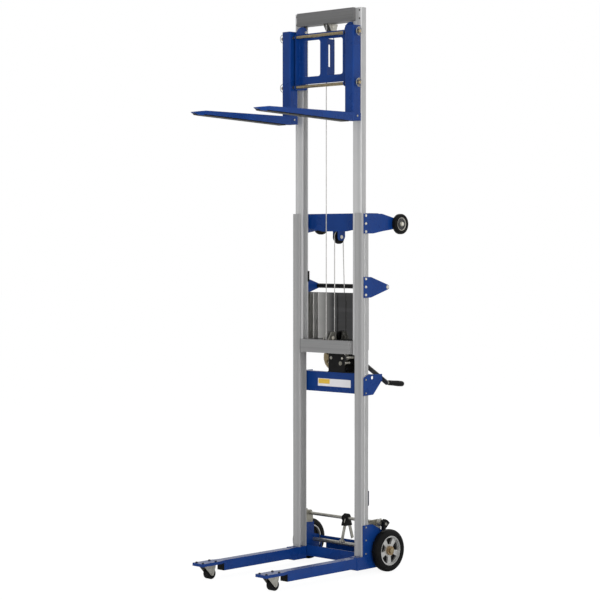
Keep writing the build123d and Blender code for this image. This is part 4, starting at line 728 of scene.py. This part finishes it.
def rope():
    """The wire rope from the drum, over the sheaves, to the carriage."""
    top, top_r = sheave("top_sheave")
    lower, lower_r = sheave("lower_sheave")
    head, head_r = sheave("head_sheave")
    drum = middle("winch_drum")
    wrap = top.x - drum.x

    def on_drum(angle):
        y = ROPE_FIRST_TURN_Y + ROPE_PITCH * (ROPE_LOOPS + angle / (2 * pi))
        return Vector((drum.x + wrap * cos(angle), y, drum.z + wrap * sin(angle)))

    def round_drum(angle):
        return Vector((-wrap * sin(angle), ROPE_PITCH / (2 * pi), wrap * cos(angle))).normalized()

    off = on_drum(0)
    reach = hypot(top.y - off.y, top.z - off.z)
    lean = atan2(top.z - off.z, top.y - off.y) - asin(top_r / reach)
    rising = Vector((0, cos(lean), sin(lean)))
    meet_top = off + rising * sqrt(reach**2 - top_r**2)
    angles = [k * pi / 2 - 2 * pi * ROPE_LOOPS for k in range(4 * ROPE_LOOPS)]
    first = round_drum(angles[0])
    begin = on_drum(angles[0]) - first * ROPE_STUB
    turns = [(on_drum(angle), round_drum(angle)) for angle in angles]
    handover = off + rising * ROPE_STUB
    laid_rope("rope_winding", "base", [(begin, first)] + turns + [(off, rising), (handover, rising)])
    leave_top = top + FORWARD * top_r
    over = [(handover, rising), (meet_top, rising), (top + UP * top_r, FORWARD), (leave_top, DOWN)]
    front_top = leave_top + DOWN * ROPE_STUB
    laid_rope("rope_rear_fall", "base", over + [(front_top, DOWN)])
    meet_low = lower + BACK * lower_r
    front_low = meet_low + UP * ROPE_STUB
    stretch = ("base", "inner_mast", front_top, front_low)
    laid_rope("rope_front_fall", stretch, [(front_top, DOWN), (front_low, DOWN)])
    loop = [(front_low, DOWN), (meet_low, DOWN)]
    loop += [(lower + DOWN * lower_r, FORWARD), (lower + FORWARD * lower_r, UP)]
    loop += [(head + FORWARD * head_r, UP), (head + UP * head_r, BACK), (head + BACK * head_r, DOWN)]
    fall_top = head + BACK * head_r + DOWN * ROPE_STUB
    laid_rope("rope_mast_loop", "inner_mast", loop + [(fall_top, DOWN)])
    fall_low = Vector((fall_top.x, fall_top.y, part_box("rope_carriage_fall")[0].z))
    stretch = ("inner_mast", "carriage", fall_top, fall_low)
    laid_rope("rope_carriage_fall", stretch, [(fall_top, DOWN), (fall_low, DOWN)])


# Bolts


# Radius and height of a head and its washer, radius and length of a shank, and how far the washer's seat lies
# below the end of the node's bolt, in millimetres
BOLT_SIZES = {
    "button": {"sides": 24, "head": (5.4, 3.5), "washer": (6.5, 1.0), "shank": (3.2, 8.0), "seat": 4.5},
    "small button": {"sides": 24, "head": (3.6, 3.5), "washer": (4.3, 1.0), "shank": (3.2, 8.0), "seat": 4.5},
    "side button": {"sides": 24, "head": (4.4, 2.6), "washer": (5.2, 0.4), "shank": (3.2, 1.0)},
    "handle": {"sides": 6, "head": (8.0, 4.0), "washer": (9.0, 1.0), "shank": (3.2, 17.0), "seat": 5},
    "axle nut": {"sides": 6, "head": (8.0, 4.5), "washer": (9.0, 1.0), "shank": (6.0, 29.0), "seat": 5.5},
    "axle head": {"sides": 6, "head": (9.0, 4.0), "washer": (10.0, 1.0), "shank": (6.0, 1.0), "seat": 5},
    "tray": {"sides": 6, "head": (5.6, 4.0), "washer": (6.5, 1.0), "shank": (3.2, 6.5), "seat": 5},
    "screw": {"sides": 24, "head": (4.6, 2.2), "washer": (5.5, 0.8), "shank": (3.2, 3.0), "seat": 3},
    "standoff": {"sides": 6, "head": (7.6, 12.9), "washer": (8.0, 0.5), "shank": (3.0, 0.5), "seat": 19.5},
    "pin head": {"sides": 32, "head": (7.6, 3.2), "washer": (9.0, 0.8), "shank": (6.0, 18.5), "seat": 4},
    "flush screw": {"sides": 6, "head": (2.4, 0.25), "washer": (4.5, 1.6), "shank": (3.2, 5.0), "seat": 2},
}


def bolts(name, kind, finish, spots, body, slot, *nodes):
    """Bolts of one kind at spots, each a seat and the way its head faces."""
    sizes = BOLT_SIZES[kind]
    mesh = bpy.data.meshes.new(name)
    mesh.from_pydata([seat for seat, _ in spots], [], [])
    facing = mesh.attributes.new("facing", "FLOAT_VECTOR", "POINT")
    facing.data.foreach_set("vector", [value for _, way in spots for value in way])
    values = {"sides": sizes["sides"], "material": FINISH[finish]}
    for key, tall in (("head", "height"), ("washer", "height"), ("shank", "length")):
        values[f"{key} radius"] = sizes[key][0] * MM
        values[f"{key} {tall}"] = sizes[key][1] * MM
    piece = smooth(grow(added(name, mesh), BOLT_TREE, **values))
    settle(piece, body, slot, *nodes, finish=finish)


def seats(boxes, way, kind):
    """Seats for one kind of bolt below the ends of boxes, on the side that way points to."""
    axis = max(range(3), key=lambda k: abs(way[k]))
    spots = []
    for low, high in boxes:
        place = (low + high) / 2
        place[axis] = (high if way[axis] > 0 else low)[axis] - way[axis] * BOLT_SIZES[kind]["seat"] * MM
        spots.append((place, way))
    return spots


def outward(boxes, kind, turn=1):
    """Seats on the outer ends of boxes along X, or on the inner ends where turn is -1."""
    spots = []
    for sign in SIDES.values():
        own = [box for box in boxes if box[0].x * sign > 0]
        spots += seats(own, Vector((sign * turn, 0, 0)), kind)
    return spots


def both_ends(boxes, kind):
    """Seats on both ends of boxes along X."""
    across = Vector((1, 0, 0))
    return seats(boxes, across, kind) + seats(boxes, -across, kind)


def kind_of(low, high):
    """What a solid of frame_bolts is, told by its size and place."""
    size, place = (high - low) / MM, (low + high) / (2 * MM)
    if place.y < 0:
        return "tray"
    if size.y > size.x and size.y > size.z:
        return "guard"
    if size.x > LONG_BOLT:
        return "axle" if abs(place.x) > POST_OUTSIDE else "pin"
    if size.x > HANDLE_BOLT:
        return "handle"
    return "high" if place.z > BASE_TOP else "low"


def all_bolts():
    """Bolts of the base, the inner mast and the carriage."""
    found = {}
    for low, high in islands("frame_bolts"):
        found.setdefault(kind_of(low, high), []).append((low, high))
    on_base = ("base", "zinc_steel", "frame_bolts")
    bolts("bracket_bolts", "button", "cream_zinc", outward(found["high"], "button"), *on_base)
    bolts("base_bolts", "small button", "zinc_steel", outward(found["low"], "small button"), *on_base)
    bolts("handle_bolts", "handle", "cream_zinc", outward(found["handle"], "handle"), *on_base)
    bolts("loading_axle_nuts", "axle nut", "cream_zinc", outward(found["axle"], "axle nut"), *on_base)
    bolts("loading_axle_heads", "axle head", "zinc_steel", outward(found["axle"], "axle head", -1), *on_base)
    bolts("tray_bolts", "tray", "dark_zinc", seats(found["tray"], UP, "tray"), *on_base)
    bolts("guard_screws", "screw", "cream_zinc", seats(found["guard"], BACK, "screw"), *on_base)
    bolts("guard_standoffs", "standoff", "zinc_steel", seats(found["guard"], BACK, "standoff"), *on_base)
    bolts("top_sheave_pin", "pin head", "cream_zinc", both_ends(found["pin"], "pin head"), *on_base)
    inner = islands("inner_fasteners")
    long = [box for box in inner if box[1].x - box[0].x > LONG_BOLT * MM]
    short = [box for box in inner if box not in long]
    on_mast = ("inner_mast", "zinc_steel", "inner_fasteners")
    bolts("inner_sheave_pins", "pin head", "cream_zinc", both_ends(long, "pin head"), *on_mast)
    bolts("beam_screws", "flush screw", "dark_zinc", seats(short, FORWARD, "flush screw"), *on_mast)
    spots = []
    for sign in SIDES.values():
        place = Vector((sign * SIDE_BOLT_X, SIDE_BOLT_Y, SIDE_BOLT_Z)) * MM
        spots.append((place, Vector((-sign, 0, 0))))
    bolts("side_plate_bolts", "side button", "cream_zinc", spots, "carriage", "zinc_steel")


# Wheels, grip and small turned pieces


def mirrored(outline, sign):
    """Outline of a ring turned to the other side."""
    return [(sign * x, radius, corner) for x, radius, corner in outline]


def both_ways(outline):
    """Outline of a ring completed with its mirror half."""
    return outline + mirrored(reversed(outline), -1)


# Outlines of rings, as (distance along the axis, radius, corner cut) in millimetres
TYRE = [(-18, 71, 0.5), (-22, 74, 1.5), (-22, 101.6, 18), (22, 101.6, 18), (22, 84, 0.4), (20.9, 83, 0.4)]
TYRE += [(20.9, 80.5, 0.4), (22, 79.5, 0.4), (22, 74, 1.5), (18, 71, 0.5)]
HUB_BACK = [(-6, 21, 0.3), (-6, 64.5, 0.5), (-4, 64.5, 0.5), (-4, 21, 0.3)]
SMALL_TYRE = both_ways([(-10, 32, 0.5), (-12.5, 34, 1), (-12.5, 49, 8)])
SMALL_HUB = [(-12.4, 6.1, 0), (-12.4, 11, 1), (-8, 13, 1), (-7, 27, 0.5), (-9.5, 29, 0.5), (-9.5, 31.9, 0.4)]
SMALL_HUB = both_ways(SMALL_HUB)
CASTER = both_ways([(-17, 4.1, 0), (-17, 8, 1), (-13, 9.5, 1), (-13, 16, 1), (-16, 18.5, 1), (-17, 25.4, 3)])
SHOE_EYE = [(0, 3.2, 0.2), (0, 7.2, 0.2), (1.4, 6.6, 0.5), (1.4, 4.0, 0.5)]
GRIP = [(0, 5.15, 0.2), (0, 9.5, 1), (4, 10, 1), (7, 12.2, 2), (40, 12.6, 8), (78, 14, 12)]
GRIP += [(GRIP_LENGTH - 6, 12.8, 3), (GRIP_LENGTH, 9, 3), (GRIP_LENGTH, 5.15, 0.2)]


def turned_pieces():
    """Tyres, hubs, caster wheels, the eyes of the brake shoes and the crank's grip."""
    low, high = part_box("brake_shoes")
    for side, sign in SIDES.items():
        tyre, small, caster = f"rear_tyre_{side}", f"loading_wheel_{side}", f"caster_wheel_{side}"
        axle, centre = middle(tyre), middle(small) / MM
        outer = turned(f"{tyre}_turned", mirrored(TYRE, sign), axle, sides=TYRE_SIDES)
        settle(outer, BODY_OF[tyre], SLOT_OF[tyre], tyre)
        back = turned(f"rear_hub_back_{side}", mirrored(HUB_BACK, sign), axle)
        settle(back, BODY_OF[tyre], "black_plastic")
        settle(turned(f"{small}_tyre", SMALL_TYRE, middle(small)), small, SLOT_OF[small], small)
        hub = turned(f"{small}_hub", SMALL_HUB, middle(small))
        settle(hub, small, SLOT_OF[small], small, finish="zinc_steel")
        paint(hub, "dark_zinc", lambda place: within(off_axle(place, centre), SMALL_HUB_DISH))
        settle(turned(f"{caster}_turned", CASTER, middle(caster)), caster, SLOT_OF[caster], caster)
        eye = (low + high) / 2 + SHOE_EYE_OFFSET * MM
        eye.x = sign * high.x
        ring = turned(f"brake_shoe_eye_{side}", mirrored(SHOE_EYE, sign), eye, sides=EYE_SIDES)
        settle(ring, "brake", "zinc_steel")
    grip = turned("crank_grip_turned", GRIP, (0, GRIP_STEP * MM, 0), along="Y", sides=GRIP_SIDES)
    grip.data.transform(Matrix.Translation(GRIP_FOOT * MM) @ Matrix.Rotation(-GRIP_DROOP, 4, "X"))
    settle(grip, "grip", SLOT_OF["crank_grip"], "crank_grip")


# Plates and welds


# Plates as (left, right, bottom, top, corner cut), and weld lines of the right-hand side, in millimetres
NAME_PLATE, NAME_PLATE_THICK = (-112, 105, 880, 917, 3), 0.8
NAME_BLOCK, NAME_BLOCK_PROUD, NAME_BLOCK_THICK = (-108, -33, 892, 915, 2), 1.1, 0.5
POST_STOP, POST_STOP_THICK = (214, 226, 322, 394, 4), 9
BASE_WELDS = [[(227.5, 258.5, 856), (227.5, 258.5, 948)]]
BASE_WELDS += [[(187, 164, 81.5), (233, 164, 81.5)], [(187, 164, 81.5), (187, 164, 34)]]
CARRIAGE_WELDS = [[(157.5, y, 2350), (157.5, y, 2586)] for y in (183.5, 177.5)]
FORK_WELDS = [[(181, 131.5, 2192.5), (233, 131.5, 2192.5)]]


def plates():
    """Plain plate on the winch crossmember, the block on it, and the stop on a mast post."""
    front = WINCH_FACE_Y * MM
    plate = film("name_plate", NAME_PLATE, front - NAME_PLATE_THICK * MM, NAME_PLATE_THICK * MM)
    settle(plate, "base", "nylon", finish="plate_white")
    block = film("name_plate_block", NAME_BLOCK, front - NAME_BLOCK_PROUD * MM, NAME_BLOCK_THICK * MM)
    settle(block, "base", "nylon", finish="plate_yellow")
    # The stop is blue paint darkened to navy: painted shade.
    stop = film("post_stop", POST_STOP, POST_REAR * MM, POST_STOP_THICK * MM)
    settle(stop, "base", "blue_paint", finish="painted_shade_navy")


def weld(name, body, lines, signs):
    """Weld beads along lines of the right-hand side, mirrored to the left where a sign is -1."""
    places, edges = [], []
    for sign in signs:
        for line in lines:
            first = len(places)
            places += [Vector((sign * x, y, z)) * MM for x, y, z in line]
            edges += [(first + k, first + k + 1) for k in range(len(line) - 1)]
    mesh = bpy.data.meshes.new(name)
    mesh.from_pydata(places, edges, [])
    sizes = {"radius": WELD_RADIUS, "step": WELD_STEP}
    piece = smooth(grow(added(name, mesh), WELD_TREE, **sizes, material=FINISH["blue_paint"]))
    settle(piece, body, "blue_paint")


def welds():
    """Beads of the forks, the base and the carriage."""
    for side, sign in SIDES.items():
        weld(f"fork_weld_{side}", f"fork_{side}", FORK_WELDS, [sign])
    weld("base_welds", "base", BASE_WELDS, SIDES.values())
    weld("carriage_welds", "carriage", CARRIAGE_WELDS, SIDES.values())


# Finished nodes


def finished_nodes():
    """Every node that is not made anew, with its second finishes."""
    anew = ("frame_bolts", "inner_fasteners", "crank_grip")
    anew += ("rope_", "rear_tyre", "loading_wheel", "caster_wheel")
    done = {node: finished(node) for node in SLOT_OF if not node.startswith(anew)}
    axle = middle("rear_tyre_right") / MM
    for side in SIDES:
        paint(done[f"rear_hub_{side}"], "bronze", lambda place: off_axle(place, axle) < HUB_BUSH_RADIUS)
        # The plate under each tine is painted near black: painted shade under the tine.
        paint(done[f"fork_{side}"], "black_paint", under_tine)
        paint(done[f"fork_{side}"], "zinc_steel", heel_bolt)
        # The insides of the post channels take the paler aluminium: painted light where they sit in shade.
        paint(done[f"outer_post_{side}"], "channel_painted_light_aluminium", post_channel)
        paint(done[f"inner_post_{side}"], "channel_painted_light_aluminium", inner_channel)
        # The outer side of each inner post takes the darker aluminium of the outer posts: painted shade on a
        # side the key lamp lights brightly.
        paint(done[f"inner_post_{side}"], "mast_aluminium", lambda place: abs(place.x) > INNER_OUTSIDE)
    paint(done["rear_axle"], "yellow_zinc", lambda place: abs(place.x) > AXLE_NUT_X)
    # The spacer bar takes the paler cream zinc: painted light on a bar that sits in shade.
    paint(done["winch_frame"], "cream_zinc", spacer_bar)
    paint(done["winch_frame"], "olive_zinc", spacer_head)
    paint(done["crank_arm"], "cream_zinc", grip_collar)
    paint(done["pinion_shaft"], "dark_zinc", lambda place: within(place.y, PINION_GEAR_Y))
    paint(done["ring_pins"], "zinc_steel", ring_wire)


# Corners that take a second finish, in millimetres


def within(value, span):
    return span[0] < value < span[1]


def off_axle(place, centre):
    """Distance from an axle along X."""
    return hypot(place.y - centre.y, place.z - centre.z)


def post_channel(place):
    """Corners inside the channels of the mast posts."""
    return within(abs(place.x), POST_CHANNEL_X) and within(place.y, POST_CHANNEL_Y)


def inner_channel(place):
    """Corners inside the channels of the inner posts."""
    return within(abs(place.x), INNER_CHANNEL_X) and within(place.y, INNER_CHANNEL_Y)


def under_tine(place):
    """Corners of the plate under a tine."""
    share = (place.y - TINE_CHIN[0]) / (TINE_BEND[0] - TINE_CHIN[0])
    underside = TINE_CHIN[1] + share * (TINE_BEND[1] - TINE_CHIN[1])
    inset = abs(abs(place.x) - FORK_MIDDLE) < FORK_HALF - TINE_PLATE_INSET
    along = within(share, (-TINE_END_SLACK, 1 + TINE_END_SLACK))
    return inset and along and place.z < underside + TINE_PLATE_THICK


def heel_bolt(place):
    """Corners of the bolt heads on a fork's heel."""
    proud = abs(abs(place.x) - FORK_MIDDLE) > FORK_HALF - HEEL_BOLT_SLACK
    return proud and hypot(place.y - HEEL_BOLT_Y, place.z - HEEL_BOLT_Z) < HEEL_BOLT_RADIUS


def spacer_bar(place):
    """Corners of the bar of the winch spacer."""
    off = hypot(place.x - SPACER_X, place.z - SPACER_Z)
    return off < SPACER_BAR_RADIUS and within(place.y, SPACER_BAR_Y)


def spacer_head(place):
    """Corners of the front head of the winch spacer."""
    off = hypot(place.x - SPACER_X, place.z - SPACER_Z)
    return off < SPACER_HEAD_RADIUS and place.y < SPACER_HEAD_BACK


def grip_collar(place):
    """Corners of the collar between the crank arm and its grip."""
    off = hypot(place.x - GRIP_FOOT.x, place.z - GRIP_FOOT.z)
    return off < COLLAR_RADIUS and place.y > GRIP_FOOT.y - COLLAR_SLACK


def ring_wire(place):
    """Corners of the wire rings of the fork rod pins."""
    off = min(abs(hypot(place.y - ROD_Y, place.z - height) - RING_RADIUS) for height in ROD_HEIGHTS)
    return off < RING_WIRE and abs(abs(place.x) - RING_X) < RING_SPREAD


# Camera, floor and light


def aim(thing, place, look):
    """Puts a camera or a lamp at a place, facing along look."""
    thing.location = place
    thing.rotation_mode = "QUATERNION"
    thing.rotation_quaternion = look.to_track_quat("-Z", "Y")


def camera():
    """Camera at the photograph's viewing angle."""
    data = bpy.data.cameras.new("camera")
    data.lens = CAMERA_LENS
    data.sensor_width = CAMERA_SENSOR
    data.clip_end = CAMERA_REACH
    level = cos(CAMERA_PITCH)
    look = Vector((-sin(CAMERA_AZIMUTH) * level, cos(CAMERA_AZIMUTH) * level, -sin(CAMERA_PITCH)))
    eye = added("camera", data)
    aim(eye, CAMERA_PLACE, look)
    bpy.context.scene.camera = eye


def floor():
    """Pale floor, white to the camera apart from the shadow."""
    half = FLOOR_SIZE / 2
    corners = [(-half, -half, 0), (half, -half, 0), (half, half, 0), (-half, half, 0)]
    mesh = bpy.data.meshes.new("floor")
    mesh.from_pydata(corners, [], [(0, 1, 2, 3)])
    plane = added("floor", mesh)
    material = bpy.data.materials.new("floor")
    tree = bare_tree(material)
    path = Wire(tree, tree.nodes.new("ShaderNodeLightPath").outputs["Is Camera Ray"])
    matt = path.node("ShaderNodeBsdfDiffuse", None, {"Color": grey(FLOOR_TONE)})
    glow = path.node("ShaderNodeEmission", None, {"Color": grey(1), "Strength": FLOOR_GLOW})
    mixed = path.node("ShaderNodeMixShader", None, {0: FLOOR_GLOW_SHARE * path, 1: matt, 2: glow})
    path.node("ShaderNodeOutputMaterial", None, {0: mixed})
    mesh.materials.append(material)


def studio():
    """Soft fill light, white surroundings that metal sees shaded to one side, and the lamps."""
    world = bpy.data.worlds.new("studio")
    bpy.context.scene.world = world
    tree = bare_tree(world)
    light_path = tree.nodes.new("ShaderNodeLightPath")
    rays = ("Is Camera Ray", "Is Glossy Ray", "Is Transmission Ray")
    seen, glossy, through = (Wire(tree, light_path.outputs[name]) for name in rays)
    direction = Wire(tree, tree.nodes.new("ShaderNodeTexCoord").outputs["Generated"])
    inputs = {0: direction, 1: BRIGHT_SIDE}
    side = direction.node("ShaderNodeVectorMath", {"operation": "DOT_PRODUCT"}, inputs, output=1)
    soft = side.between(*DIM_SPAN).tint(colour(*DIM_TONE), grey(1))
    backdrop = seen.tint(soft, grey(1))
    shown = seen.maths("MAXIMUM", seen, seen.maths("MAXIMUM", glossy, through))
    fill = seen.node("ShaderNodeBackground", None, {"Color": grey(1), "Strength": FILL_LIGHT})
    white = seen.node("ShaderNodeBackground", None, {"Color": backdrop, "Strength": 1.0})
    mixed = seen.node("ShaderNodeMixShader", None, {0: shown, 1: fill, 2: white})
    seen.node("ShaderNodeOutputWorld", None, {0: mixed})
    for name, values in LAMPS.items():
        lamp(name, *values)
    bpy.context.scene.view_settings.view_transform = "Standard"


def lamp(name, place, target, width, height, watts):
    """Soft lamp that lights the truck and does not show in its gloss."""
    data = bpy.data.lights.new(name, "AREA")
    data.shape = "RECTANGLE"
    data.size = width
    data.size_y = height
    data.energy = watts
    light = added(name, data)
    light.visible_glossy = False
    aim(light, place, Vector(target) - Vector(place))


camera()
floor()
studio()
rope()
finished_nodes()
all_bolts()
turned_pieces()
plates()
welds()
